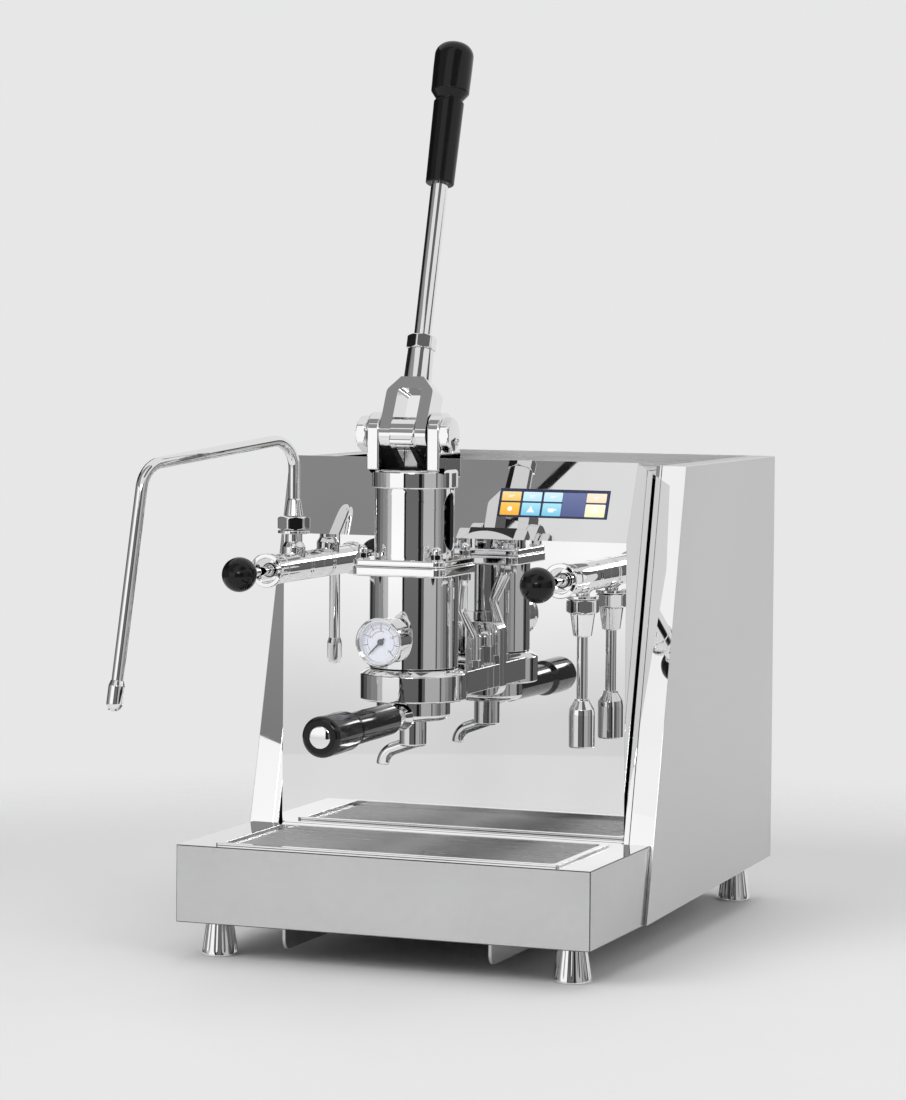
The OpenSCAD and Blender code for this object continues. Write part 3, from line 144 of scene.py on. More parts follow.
def hexNut(acrossFlats, low, high, hole=0.0, chamfer=(1, 1)):
    # the radius is the least of the hexagon's wall, its blunted corner and the cones of the end chamfers
    turns = 120
    angle = np.linspace(0, 2 * np.pi, turns, endpoint=False)
    wall = acrossFlats / 2 / np.cos((angle + np.pi / 6) % (np.pi / 3) - np.pi / 6)
    wall = np.minimum(wall, 0.985 * acrossFlats / math.sqrt(3))
    deep = 0.13 * acrossFlats
    near = np.linspace(0, deep, 9)
    height = np.concatenate([low + near, high - near[::-1]])
    cone = np.minimum(np.where(chamfer[0], 0.475 * acrossFlats + 1.7 * (height - low), 9e9),
                      np.where(chamfer[1], 0.475 * acrossFlats + 1.7 * (high - height), 9e9))
    radius = np.minimum(wall[None, :], cone[:, None])
    radius = np.concatenate([np.full((1, turns), hole), radius, np.full((1, turns), hole)])
    height = np.concatenate([[low], height, [high]])[:, None] + 0 * radius
    return gridSurface(np.stack([radius * np.cos(angle), radius * np.sin(angle), height], -1), closeV=True)


def sweep(path, section, ref, size=None):
    # the section (across, up) is carried along the path; across is square to the path and to ref
    path = np.asarray(path, float)
    ahead = unit(np.gradient(path, axis=0))
    across = unit(np.cross(ahead, ref))
    up = np.cross(across, ahead)
    size = np.ones(len(path)) if size is None else size
    scaled = np.asarray(section, float)[None] * size[:, None, None]
    points = path[:, None] + scaled[..., :1] * across[:, None] + scaled[..., 1:] * up[:, None]
    return gridSurface(points, closeV=True)


def roundTube(path, radius, ref, sides=32):
    # a circle carried along the path, drawn to a point at both ends so that the tube is closed
    path = np.asarray(path, float)
    ends = np.concatenate([path[:1], path, path[-1:]])
    ends[0] += 1e-4 * (path[0] - path[1])
    ends[-1] += 1e-4 * (path[-1] - path[-2])
    size = np.ones(len(ends))
    size[[0, -1]] = 0
    return sweep(ends, arcPoints((0, 0), radius, 0, 360 - 360 / sides, sides), ref, size=size)


def dropRepeats(points):
    keep = np.linalg.norm(points - np.roll(points, 1, 0), axis=1) > 1e-5
    return points[keep]


creaseAngle = math.radians(38)  # a fold sharper than this keeps its edge
alongAxis = {"x": [2, 0, 1], "y": [0, 2, 1], "z": [0, 1, 2]}  # places of (across, up, through) on X, Y, Z


def slab(outline, low, high, edge=0.8, along="x", steps=4):
    # a plate: the outline drawn in by edge (1 - sin) as it nears each face by edge (1 - cos), closed by flat faces
    ring = dropRepeats(np.asarray(outline, float))
    ahead = unit(np.roll(ring, -1, 0) - ring)
    right = np.stack([ahead[:, 1], -ahead[:, 0]], 1)
    out = unit(right + np.roll(right, 1, 0))
    out = out / np.maximum((out * right).sum(1, keepdims=True), 0.4)
    turning = ahead[:, 0] * np.roll(ahead[:, 1], -1) - ahead[:, 1] * np.roll(ahead[:, 0], -1)
    out = out * np.sign(turning.sum())
    t = np.linspace(0, np.pi / 2, steps + 1)
    inset = np.concatenate([[1.3 * edge], edge * (1 - np.sin(t)), [0]])
    rise = np.concatenate([[0], edge * (1 - np.cos(t)), [1.3 * edge]])
    inset = np.concatenate([inset, inset[::-1]])
    level = np.concatenate([low + rise, high - rise[::-1]])
    flat = ring[None] - inset[:, None, None] * out[None]
    points = np.concatenate([flat, np.broadcast_to(level[:, None, None], flat.shape[:2] + (1,))], -1)
    points = points[..., alongAxis[along]]
    verts, faces = gridSurface(points, closeV=True)
    count = len(ring)
    return verts, faces + [list(range(count)), list(range(len(verts) - count, len(verts)))]


def rectangle(x0, x1, y0, y1):
    return np.array([[x0, y0], [x1, y0], [x1, y1], [x0, y1]], float)


def chromePiece(name, body, surfaces, node):  # a polished piece in place of one node
    return makePiece(name, body, surfaces, [chrome], [node])


def makePiece(name, body, surfaces, finishes, replaces=()):
    # joins the surfaces into one mesh, merges seams and poles and turns the faces outwards
    start, verts, faces, index = 0, [], [], []
    for surface in surfaces:
        points, polygons = surface[:2]
        verts.append(points)
        faces += [[start + k for k in face] for face in polygons]
        index += [surface[2] if len(surface) > 2 else 0] * len(polygons)
        start += len(points)
    mesh = bpy.data.meshes.new(name)
    mesh.from_pydata(toFrame(np.concatenate(verts)).tolist(), [], faces)
    mesh.polygons.foreach_set("material_index", index)
    work = bmesh.new()
    work.from_mesh(mesh)
    bmesh.ops.remove_doubles(work, verts=work.verts, dist=2e-6)
    bmesh.ops.dissolve_degenerate(work, edges=work.edges, dist=1e-7)
    bmesh.ops.recalc_face_normals(work, faces=work.faces)
    work.to_mesh(mesh)
    work.free()
    mesh.shade_smooth()
    mesh.set_sharp_from_angle(angle=creaseAngle)
    return addObject(name, body, mesh, finishes, replaces)


def addObject(name, body, mesh, finishes, replaces):
    obj = bpy.data.objects.new(name, mesh)
    scene.collection.objects.link(obj)
    for finish in finishes:
        mesh.materials.append(finish)
    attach(obj, body)
    if replaces:
        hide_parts(*replaces)
    return obj


def softEdged(node, finishes, edge, body="machine", rule=None, steps=2, edgeFinish=-1):
    # a merged copy of a CAD node whose sharp edges get a small round; rule picks a finish from each face's direction
    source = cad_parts[node].data
    mesh = bpy.data.meshes.new(node + "Dressed")
    work = bmesh.new()
    work.from_mesh(source)
    bmesh.ops.remove_doubles(work, verts=work.verts, dist=2e-6)
    bmesh.ops.dissolve_limit(work, angle_limit=math.radians(0.6), verts=work.verts, edges=work.edges)
    work.to_mesh(mesh)
    work.free()
    mesh.shade_smooth()
    if rule:
        normals = np.zeros(len(mesh.polygons) * 3)
        mesh.polygons.foreach_get("normal", normals)
        mesh.polygons.foreach_set("material_index", rule(normals.reshape(-1, 3)).astype(np.int32))
    obj = addObject(node + "Dressed", body, mesh, finishes, [node])
    bevel = obj.modifiers.new("edgeRound", "BEVEL")
    bevel.width, bevel.segments, bevel.limit_method = edge / 1000, steps, "ANGLE"
    bevel.angle_limit, bevel.miter_outer, bevel.material = math.radians(20), "MITER_ARC", edgeFinish
    level = obj.modifiers.new("flatFaces", "WEIGHTED_NORMAL")
    level.mode, level.weight, level.keep_sharp = "FACE_AREA", 100, True
    return obj


# finishes: node materials on Object coordinates
def newFinish(name, sockets):
    material = bpy.data.materials.new(name)
    material.use_nodes = True
    tree = material.node_tree
    shader = tree.nodes["Principled BSDF"]
    for socket, value in sockets.items():
        shader.inputs[socket].default_value = value
    return material, tree, shader


def noiseField(tree, scale, stretch=(1, 1, 1), detail=2.0):
    place = tree.nodes.new("ShaderNodeTexCoord")
    mapping = tree.nodes.new("ShaderNodeMapping")
    mapping.inputs["Scale"].default_value = stretch
    texture = tree.nodes.new("ShaderNodeTexNoise")
    texture.inputs["Scale"].default_value = scale
    texture.inputs["Detail"].default_value = detail
    tree.links.new(place.outputs["Object"], mapping.inputs["Vector"])
    tree.links.new(mapping.outputs["Vector"], texture.inputs["Vector"])
    return texture.outputs["Fac"]


def mapRange(tree, value, start, end, low, high):
    node = tree.nodes.new("ShaderNodeMapRange")
    for socket, number in zip(("From Min", "From Max", "To Min", "To Max"), (start, end, low, high)):
        node.inputs[socket].default_value = number
    tree.links.new(value, node.inputs["Value"])
    return node


def spread(tree, factor, low, high):  # the middle of a noise field, drawn out between two values
    return mapRange(tree, factor, 0.3, 0.7, low, high).outputs["Result"]


def heightRun(tree, start, end, low=0.0, high=1.0):  # a value that runs between two heights, in metres
    place = tree.nodes.new("ShaderNodeTexCoord")
    split = tree.nodes.new("ShaderNodeSeparateXYZ")
    tree.links.new(place.outputs["Object"], split.inputs["Vector"])
    return mapRange(tree, split.outputs["Z"], start, end, low, high).outputs["Result"]


def tint(tree, factor, stops):
    ramp = tree.nodes.new("ShaderNodeValToRGB")
    while len(ramp.color_ramp.elements) < len(stops):
        ramp.color_ramp.elements.new(0.5)
    for element, (position, colour) in zip(ramp.color_ramp.elements, stops):
        element.position, element.color = position, (*colour, 1)
    tree.links.new(factor, ramp.inputs["Fac"])
    return ramp.outputs["Color"]


def relief(tree, shader, factor, strength, depth):
    bump = tree.nodes.new("ShaderNodeBump")
    bump.inputs["Strength"].default_value = strength
    bump.inputs["Distance"].default_value = depth
    tree.links.new(factor, bump.inputs["Height"])
    tree.links.new(bump.outputs["Normal"], shader.inputs["Normal"])


def grey(level):
    return (level, level, level * 1.004)


def polishedMetal(name, tone, rough, wave=0.00003, colour=None):
    # fine noise breaks the gloss, broad noise shifts the tone and bends the reflections a little
    material, tree, shader = newFinish(name, {"Metallic": 1.0})
    fine, broad = noiseField(tree, 90, detail=4), noiseField(tree, 7)
    low, high = (grey(tone * 0.95), grey(tone * 1.03)) if colour is None else ([c * 0.92 for c in colour], colour)
    tree.links.new(tint(tree, broad, [(0.3, low), (0.7, high)]), shader.inputs["Base Color"])
    tree.links.new(spread(tree, fine, *rough), shader.inputs["Roughness"])
    relief(tree, shader, broad, 0.12, wave)
    return material


def brushedMetal(name, tone, rough, stretch, depth=0.00002, scale=30, vary=0.06):
    # noise drawn out along one way makes the grain of ground sheet, in tone, gloss and height
    material, tree, shader = newFinish(name, {"Metallic": 1.0})
    grain, broad = noiseField(tree, scale, stretch, 6), noiseField(tree, 5)
    tones = [(0.25, grey(tone * (1 - vary))), (0.75, grey(tone * (1 + vary)))]
    tree.links.new(tint(tree, grain, tones), shader.inputs["Base Color"])
    mixed = tree.nodes.new("ShaderNodeMath")
    mixed.operation = "ADD"
    tree.links.new(spread(tree, grain, *rough), mixed.inputs[0])
    tree.links.new(spread(tree, broad, 0.0, 0.05), mixed.inputs[1])
    tree.links.new(mixed.outputs["Value"], shader.inputs["Roughness"])
    relief(tree, shader, grain, 0.25, depth)
    return material


def mouldedFinish(name, colour, rough, scale=120, depth=0.00004, sockets=None):
    # moulded plastic, rubber, paint or enamel: grain in height and gloss, slight shift in tone
    material, tree, shader = newFinish(name, sockets or {})
    fine, broad = noiseField(tree, scale, detail=5), noiseField(tree, 9)
    tree.links.new(tint(tree, broad, [(0.3, [c * 0.85 for c in colour]), (0.7, colour)]), shader.inputs["Base Color"])
    tree.links.new(spread(tree, fine, *rough), shader.inputs["Roughness"])
    relief(tree, shader, fine, 0.2, depth)
    return material


def litFinish(name, low, high, start, end):
    # a lit screen field: colour runs from low to high between two heights
    material, tree, shader = newFinish(name, {"Roughness": 0.25, "Emission Strength": 1.0,
                                              "Base Color": (0.02, 0.02, 0.025, 1)})
    run = heightRun(tree, start, end)
    tree.links.new(tint(tree, run, [(0.0, low), (1.0, high)]), shader.inputs["Emission Color"])
    return material


chrome = polishedMetal("polishedChrome", 0.90, (0.02, 0.05))
mirrorSteel = polishedMetal("mirrorSteel", 0.88, (0.008, 0.02), wave=0.000008)
traySteel = polishedMetal("traySteel", 0.63, (0.15, 0.21))
# dark metal for the tray's rounded edges: painted dark reflection lines along them
paintedEdgeReflection = polishedMetal("paintedEdgeReflection", 0.16, (0.2, 0.3))
satinSide = brushedMetal("satinSide", 0.68, (0.36, 0.44), (0.6, 0.6, 14), 0.000004, 60, 0.012)
satinSteel = brushedMetal("satinSteel", 0.62, (0.28, 0.36), (0.5, 12, 12))
coverSteel = brushedMetal("coverSteel", 0.78, (0.22, 0.30), (0.5, 12, 12))
grateSteel = brushedMetal("grateSteel", 0.60, (0.16, 0.26), (0.5, 12, 12))
zincSheet = mouldedFinish("zincSheet", (0.36, 0.36, 0.37), (0.38, 0.5), 60, sockets={"Metallic": 0.85})
springSteel = brushedMetal("springSteel", 0.33, (0.25, 0.4), (3, 3, 9))
brass = polishedMetal("turnedBrass", 0.7, (0.18, 0.32), colour=(0.72, 0.50, 0.26))
copper = polishedMetal("boilerCopper", 0.7, (0.22, 0.4), colour=(0.72, 0.40, 0.24))
jet = (0.006, 0.006, 0.0065)
blackGrip = mouldedFinish("blackGrip", jet, (0.12, 0.2), 160, 0.00001, {"Specular IOR Level": 0.32})
blackGloss = mouldedFinish("blackGloss", jet, (0.07, 0.12), 160, 0.00001, {"Specular IOR Level": 0.5})
gripFace = mouldedFinish("gripFace", (0.010, 0.010, 0.010), (0.45, 0.6), 220, 0.00004, {"Specular IOR Level": 0.3})
sealRubber = mouldedFinish("sealRubber", (0.025, 0.025, 0.025), (0.6, 0.75), 200, 0.00006)
motorPaint = mouldedFinish("motorPaint", (0.06, 0.07, 0.08), (0.3, 0.45), 150, 0.00008)
tankPlastic = mouldedFinish("tankPlastic", (0.80, 0.81, 0.81), (0.3, 0.42), 80, 0.00003, {"Alpha": 0.75})
# the dial gives off a little light of its own: painted light that lifts the bezel's shadow from it
dialEnamelPaintedGlow = mouldedFinish("dialEnamelPaintedGlow", (0.86, 0.87, 0.93), (0.35, 0.45), 140, 0.00001,
                           {"Emission Color": (0.80, 0.83, 0.95, 1), "Emission Strength": 0.28})
dialInk = mouldedFinish("dialInk", (0.05, 0.055, 0.07), (0.4, 0.5), 200, 0.00001)
dialRed = mouldedFinish("dialRed", (0.52, 0.14, 0.2), (0.4, 0.5), 200, 0.00001)
needleBlue = mouldedFinish("needleBlue", (0.045, 0.06, 0.08), (0.25, 0.35), 150, 0.00001, {"Metallic": 0.4})
gaugeGlass = mouldedFinish("gaugeGlass", (0.9, 0.92, 0.94), (0.015, 0.03), 60, 0.000004, {"Alpha": 0.09, "IOR": 1.5})
screenGlass = mouldedFinish("screenGlass", (0.035, 0.05, 0.13), (0.06, 0.12), 60, 0.000004)
# black finish set where there is only shade: painted shade inside the spring housing, in the cap and in the steam tip's
# holes
paintedShadeFinish = mouldedFinish("paintedShadeFinish", (0.02, 0.02, 0.02), (0.5, 0.6), 120, 0.00002)
print("finishes:", len(bpy.data.materials))


# housing: sheet metal with softly rounded folds
housing = {"edge": 0.7, "sideEdge": 1.1, "trayEdge": 0.9, "rimEdge": 0.5, "railEdge": 0.4, "neckEdge": 1.2}


def frontFace(normals):  # polished where a face looks to the front, satin elsewhere
    return np.where(normals[:, 1] < -0.6, 1, 0)


def upFace(normals):  # polished where a face looks up, soft elsewhere
    return np.where(normals[:, 2] > 0.9, 1, 0)


for node in ("left_side_panel", "right_side_panel"):
    softEdged(node, [satinSide, mirrorSteel], housing["sideEdge"], rule=frontFace, edgeFinish=1)
softEdged("fascia", [mirrorSteel], housing["edge"])
softEdged("cup_tray", [satinSteel], housing["rimEdge"])
# the tray's rounded edges take the dark metal: painted dark reflection lines
softEdged("tray_box", [traySteel, mirrorSteel, paintedEdgeReflection], housing["trayEdge"], rule=upFace,
          edgeFinish=2)
softEdged("drip_basin", [mirrorSteel], housing["rimEdge"], body="basin")
softEdged("chassis_rails", [satinSteel], housing["railEdge"])
softEdged("group_neck", [chrome], housing["neckEdge"], steps=3)

# feet: a cone whose radius dips along each flute, r = cone - depth * cos^2 of the flute angle
foot = {"places": [(x, y) for x in (-172, 172) for y in (35, 533)], "height": 33, "top": 12.5, "base": 17.75,
        "flutes": 14, "depth": 0.4}


def fluteFoot(radius, angle, height):
    fade = np.clip((height - 3.5) / 2.5, 0, 1) * np.clip((foot["height"] - 1.5 - height) / 3, 0, 1)
    return radius - foot["depth"] * fade * np.maximum(0, np.cos(foot["flutes"] * angle)) ** 2 * (radius > 2)


footWall = np.stack([np.linspace(foot["base"], foot["top"], 24)[1:-1], np.linspace(0, foot["height"], 24)[1:-1]], 1)
footProfile = np.concatenate([[[0, 0], [foot["base"] - 0.8, 0], [foot["base"] - 0.2, 0.25]], footWall,
                              [[foot["top"] + 0.1, foot["height"] - 0.3], [foot["top"] - 0.6, foot["height"]],
                               [0, foot["height"]]]])
chromePiece("flutedFeet", "machine",
            [carry(lathe(footProfile, 168, flute=fluteFoot), (x, y, 0)) for x, y in foot["places"]], "feet")

# drip grate: a rounded frame, thin wires from side to side and three cross rods below them
grate = {"wires": 27, "wire": 1.1, "frame": 3.0, "rods": (-88, 0, 88), "rod": 0.95, "rodDrop": 2, "round": 5,
         "sink": 1.5, "margin": 5}
grateLow, grateHigh = [(np.array(corner) - origin) * 1000 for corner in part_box("drip_grate")]
grateTop = grateHigh[2]


def grateBar(start, end, radius):
    return roundTube(np.linspace(start, end, 3), radius, (0, 0, 1), 12)


inward = np.array([(1, 1), (-1, 1), (-1, -1), (1, -1)])
frameMiddle = rectangle(grateLow[0], grateHigh[0], grateLow[1], grateHigh[1]) + grate["frame"] / 2 * inward
frameLine = dropRepeats(roundCorners(frameMiddle, grate["round"], 6, closed=True))
frameLine = np.concatenate([frameLine, frameLine[:2]])
frameTube = sweep(np.column_stack([frameLine, 0 * frameLine[:, 0] + grateTop - grate["frame"] / 2]),
                  arcPoints((0, 0), grate["frame"] / 2, 0, 345, 24), (0, 0, 1))
wireRows = np.linspace(grateLow[1] + grate["margin"], grateHigh[1] - grate["margin"], grate["wires"])
wireLevel, rodLevel = grateTop - grate["wire"] - 0.1, grateTop - grate["rodDrop"]
barLow, barHigh = grateLow + grate["sink"], grateHigh - grate["sink"]  # the bars' ends lie inside the frame tube
wires = [grateBar((barLow[0], y, wireLevel), (barHigh[0], y, wireLevel), grate["wire"]) for y in wireRows]
rods = [grateBar((x, barLow[1], rodLevel), (x, barHigh[1], rodLevel), grate["rod"]) for x in grate["rods"]]
makePiece("gratePanel", "grate", [frameTube] + wires + rods, [grateSteel], ["drip_grate"])
print("housing done")


# lever group, from the bell up
group = {"y": 80, "bellLow": 239, "bellRadius": 49, "barrelLow": 269, "barrelRadius": 41, "flangeLow": 353,
         "flangeSplit": 362, "flangeTop": 368, "flangeHalf": 45, "flangeRound": 9, "split": 0.15, "capLow": 432,
         "boreRadius": 31}
groupAt = (0, group["y"], 0)
bell = {"lipRadius": 36, "channelRadius": 40.5, "lipTop": 243, "roof": 251, "wallTop": 263, "top": 268.9,
        "entry": 14.0, "entryAt": -45.0}


def bellEntries(radius, angle, height):  # the lip under the bayonet channel opens at two places
    away = (np.degrees(angle) - bell["entryAt"] + 90) % 180 - 90
    lip = (np.abs(radius - bell["lipRadius"]) < 1.2) & (height < bell["lipTop"] + 0.1)
    return np.where(lip & (np.abs(away) < bell["entry"]), bell["channelRadius"], radius)


bellProfile = roundCorners([(group["boreRadius"], bell["top"]), (group["boreRadius"], bell["roof"]),
                            (bell["channelRadius"], bell["roof"]), (bell["channelRadius"], bell["lipTop"]),
                            (bell["lipRadius"], bell["lipTop"]), (bell["lipRadius"], group["bellLow"]),
                            (group["bellRadius"], group["bellLow"]), (group["bellRadius"], bell["wallTop"]),
                            (group["barrelRadius"] - 1, bell["top"])],
                           [0, 0.3, 0.3, 0.3, 0.5, 0.6, 1.4, 2.2, 0], 5)
bellWall = lathe(bellProfile, 180, closed=True, flute=bellEntries)
chromePiece("bell", "machine", [carry(bellWall, groupAt)], "group_bell")


def flange(half, low, high, edge):  # a square plate with round corners about the group's axis
    corners = roundCorners(rectangle(-half, half, -half, half), group["flangeRound"], 8, closed=True)
    return slab(corners + [0, group["y"]], low, high, edge, "z")


barrelTop = group["flangeLow"] + 1  # the wall ends inside the flange
barrelProfile = roundCorners([(group["boreRadius"], group["barrelLow"]), (group["barrelRadius"], group["barrelLow"]),
                              (group["barrelRadius"], barrelTop), (group["boreRadius"], barrelTop)], 0.4, 3)
lowerFlange = flange(group["flangeHalf"], group["flangeLow"], group["flangeSplit"] - group["split"], 1.6)
chromePiece("barrel", "machine", [carry(lathe(barrelProfile, 144), groupAt), lowerFlange], "group_barrel")

springHousing = {"radius": 36.5, "wall": 4.0, "slotHalf": 13.0, "slotTall": 26.0, "slotMiddle": 402.0, "rim": 1.1}


def windowWall(side):
    # half of the wall, unrolled: rays from the window's middle run from its stadium edge to the half's own rectangle
    radius, middle = springHousing["radius"], springHousing["slotMiddle"]
    low, high = group["flangeTop"] - 2 - middle, group["capLow"] + 0.2 - middle
    reach = radius * np.pi / 2
    edgeUp = np.linspace(low, high, 41)
    edgeAcross = np.linspace(-reach, reach, 65)
    outer = np.concatenate([np.stack([0 * edgeUp + reach, edgeUp], 1)[:-1],
                            np.stack([edgeAcross[::-1], 0 * edgeAcross + high], 1)[:-1],
                            np.stack([0 * edgeUp - reach, edgeUp[::-1]], 1)[:-1],
                            np.stack([edgeAcross, 0 * edgeAcross + low], 1)[:-1]])
    way = np.arctan2(outer[:, 1], outer[:, 0])

    def stadium(grow):  # distance from the middle to a stadium's edge along each ray
        half, straight = springHousing["slotHalf"] + grow, springHousing["slotTall"] - springHousing["slotHalf"]
        c, s = np.abs(np.cos(way)), np.abs(np.sin(way))
        flat = half / np.maximum(c, 1e-9)
        dome = straight * s + np.sqrt(np.maximum(half ** 2 - (straight * c) ** 2, 0))
        return np.where(flat * s <= straight, flat, dome)[:, None] * np.stack([np.cos(way), np.sin(way)], 1)

    rim = springHousing["rim"]
    turn = np.linspace(0, np.pi / 2, 6)
    inside = [(radius - springHousing["wall"], outer + (stadium(0) - outer) * t) for t in np.linspace(0, 1, 5)]
    rounding = [(radius - rim + rim * np.sin(t), stadium(rim * (1 - np.cos(t)))) for t in turn]
    outside = [(radius, stadium(rim) + (outer - stadium(rim)) * t) for t in np.linspace(0.02, 1, 14) ** 1.4]
    rows = [np.stack([r * np.cos(flat[:, 0] / radius), r * np.sin(flat[:, 0] / radius), flat[:, 1] + middle], -1)
            for r, flat in inside + rounding + outside]
    # the inner wall and the start of the window's rim take the black finish: painted shade inside the housing
    paintedShadeWall = carry(gridSurface(np.stack(rows[:6]), closeV=True), groupAt, (0, 0, 1), (side, 0, 0))
    bright = carry(gridSurface(np.stack(rows[5:]), closeV=True), groupAt, (0, 0, 1), (side, 0, 0))
    return [(*paintedShadeWall, 1), bright]


upperFlange = flange(group["flangeHalf"] - 0.5, group["flangeSplit"] + group["split"], group["flangeTop"], 1.3)
makePiece("springHousingShell", "machine", windowWall(1) + windowWall(-1) + [upperFlange], [chrome, paintedShadeFinish],
          ["spring_housing"])

# acorn nuts: hexagon with a cylinder and a dome above it
nuts = {"neck": (15, 17, 31, [(x, 153, 264) for x in (-32, 32)]),
        "flange": (10, 6, 13, [(x, group["y"] + y, group["flangeTop"]) for x in (-36, 36) for y in (-36, 36)])}


def acornNut(acrossFlats, hexHigh, domeHigh):
    r = 0.44 * acrossFlats
    dome = np.concatenate([[[0, hexHigh - 1], [r, hexHigh - 1], [r, hexHigh]],
                           arcPoints((0, domeHigh - r), r, 0, 90, 14)])
    dome[-1, 0] = 0
    washer = roundCorners([(0, -0.2), (0.64 * acrossFlats, -0.2), (0.64 * acrossFlats, 1.1), (0, 1.1)], 0.4, 3)
    return [hexNut(acrossFlats, 0.9, hexHigh), lathe(dome, 48), lathe(washer, 60)]


chromePiece("acornNuts", "machine", [carry(part, at) for flats, low, high, places in nuts.values()
                                     for at in places for part in acornNut(flats, low, high)], "acorn_nuts")

# inlet pipe with a union nut at each end
pipe = {"radius": 3.5, "bend": 9.0, "nut": 11, "nutHigh": 7, "nutGap": 0.2,
        "points": [(34, 119, 353), (34, 119, 344), (26, 133, 318), (38, 138, 292), (38, 138, 264)]}
pipePath = dropRepeats(roundCorners(pipe["points"], pipe["bend"], 10))
unionNut = hexNut(pipe["nut"], 0, pipe["nutHigh"], chamfer=(0, 1))
chromePiece("inletPipe", "machine",
            [roundTube(pipePath, pipe["radius"], (1, 0.2, 0.05), 24), carry(unionNut, pipe["points"][0], (0, 0, -1)),
             carry(unionNut, np.add(pipe["points"][-1], (0, 0, pipe["nutGap"])))], "inlet_pipe")

# cap with two ears, and the pivot bolt with its nut
cap = {"radius": 39.5, "low": 432.2, "top": 444, "earIn": 23.3, "earOut": 35.3, "front": 49, "rear": 85, "earTop": 501,
       "heelRear": 105, "heelLow": 441, "heelTop": 467, "edge": 1.6, "rim": 449, "web": (99.6, 104.4)}
capDisc = roundCorners([(6.5, cap["low"]), (cap["radius"], cap["low"]), (cap["radius"], cap["rim"]), (32.5, cap["rim"]),
                        (31, cap["top"]), (6.5, cap["top"])], [0, 1.2, 3.0, 1.5, 1.0, 0], 6)
capFloor = [(6.6, cap["top"] - 0.3), (31.3, cap["top"] - 0.3), (31.3, cap["top"] + 0.1), (6.6, cap["top"] + 0.1)]
earOutline = roundCorners([(62, cap["rim"]), (66, cap["heelLow"]), (cap["heelRear"], cap["heelLow"]),
                           (cap["heelRear"], cap["heelTop"]),
                           (cap["rear"], cap["heelTop"]), (cap["rear"], cap["earTop"]), (cap["front"], cap["earTop"]),
                           (cap["front"], cap["rim"])], [2, 1, 1.5, 4, 6, 17.9, 17.9, 1.0], 10, closed=True)
webOutline = rectangle(-cap["earIn"] - 0.5, cap["earIn"] + 0.5, *cap["web"])
rearWeb = slab(webOutline, cap["heelLow"], cap["heelTop"], 0.8, "z")
# the floor inside the ring and the rear web take the black finish: painted shade between the ears
makePiece("housingCap", "machine",
          [carry(lathe(capDisc, 120, closed=True), groupAt), slab(earOutline, cap["earIn"], cap["earOut"], cap["edge"]),
           slab(earOutline, -cap["earOut"], -cap["earIn"], cap["edge"]),
           (*carry(lathe(capFloor, 96, closed=True), groupAt), 1), (*rearWeb, 1)],
          [chrome, paintedShadeFinish], ["housing_cap"])

pivot = {"at": (0, 61, 481), "radius": 5, "from": -43.3, "to": 36, "head": 29, "headHigh": 10}


def onPivot(surface, out, side=1):  # out along the pivot from the middle, to the right or the left
    return carry(surface, (side * out, *pivot["at"][1:]), (side, 0, 0), (0, 1, 0))


boltProfile = [(0, pivot["from"]), (pivot["radius"], pivot["from"]), (pivot["radius"], pivot["to"]), (0, pivot["to"])]
boltHead, boltNut = [hexNut(pivot["head"], 0.3, pivot["headHigh"], hole) for hole in (0.0, pivot["radius"] + 0.1)]
chromePiece("pivotBolt", "machine",
            [onPivot(lathe(boltProfile, 48), 0), onPivot(boltHead, cap["earOut"])], "fulcrum_pin")
chromePiece("pivotNut", "machine", [onPivot(boltNut, cap["earOut"], -1)], "pin_nut")
print("group done")

# lever: fork and cam castings, lock nut, rod and grip on one leaning line
lever = {"lean": 16.0, "set": 9.0, "socketTop": 81.5, "nut": 24, "nutHigh": 13.5, "rodRadius": 8, "rodFrom": 57.5,
         "rodTo": 305, "reach": 379, "gripLong": 138, "gripRadius": 13.25, "headRadius": 18.25}
leverWay = np.array([0, math.sin(math.radians(lever["lean"])), math.cos(math.radians(lever["lean"]))])
leverAcross = np.array([0, leverWay[2], -leverWay[1]])


def onLever(surface, up):  # carried to the rod's axis, up along the lever from the pivot
    return carry(surface, np.array(pivot["at"]) + lever["set"] * leverAcross + up * leverWay, leverWay, (1, 0, 0))


softEdged("lever_fork", [chrome], 1.5, body="lever", steps=4)
softEdged("lever_cam", [chrome], 0.9, body="lever", steps=3)
# the cam's front lobe: a leaning face that turns under, from the pivot's top to just below it
lobe = {"half": 11.4, "edge": 1.0, "rounds": [0, 2, 3, 3, 4, 2.4, 1],
        "corners": [(2, 0), (0, 15.3), (-6.5, 14.4), (-11.4, 11), (-17.6, -4.5), (-17.4, -8.2), (-12.3, -9.2)]}
lobeOutline = roundCorners(lobe["corners"], lobe["rounds"], 6, closed=True) + pivot["at"][1:]
makePiece("camLobe", "lever", [slab(lobeOutline, -lobe["half"], lobe["half"], lobe["edge"])], [chrome])
rodNut = hexNut(lever["nut"], 0.2, lever["nutHigh"], lever["rodRadius"] + 0.05)
chromePiece("leverNut", "lever", [onLever(rodNut, lever["socketTop"])], "lock_nut")
rodProfile = roundCorners([(0, lever["rodFrom"]), (lever["rodRadius"], lever["rodFrom"]),
                           (lever["rodRadius"], lever["rodTo"]), (0, lever["rodTo"])], 0.6, 3)
chromePiece("leverRod", "lever", [onLever(lathe(rodProfile, 64), 0)], "lever_rod")


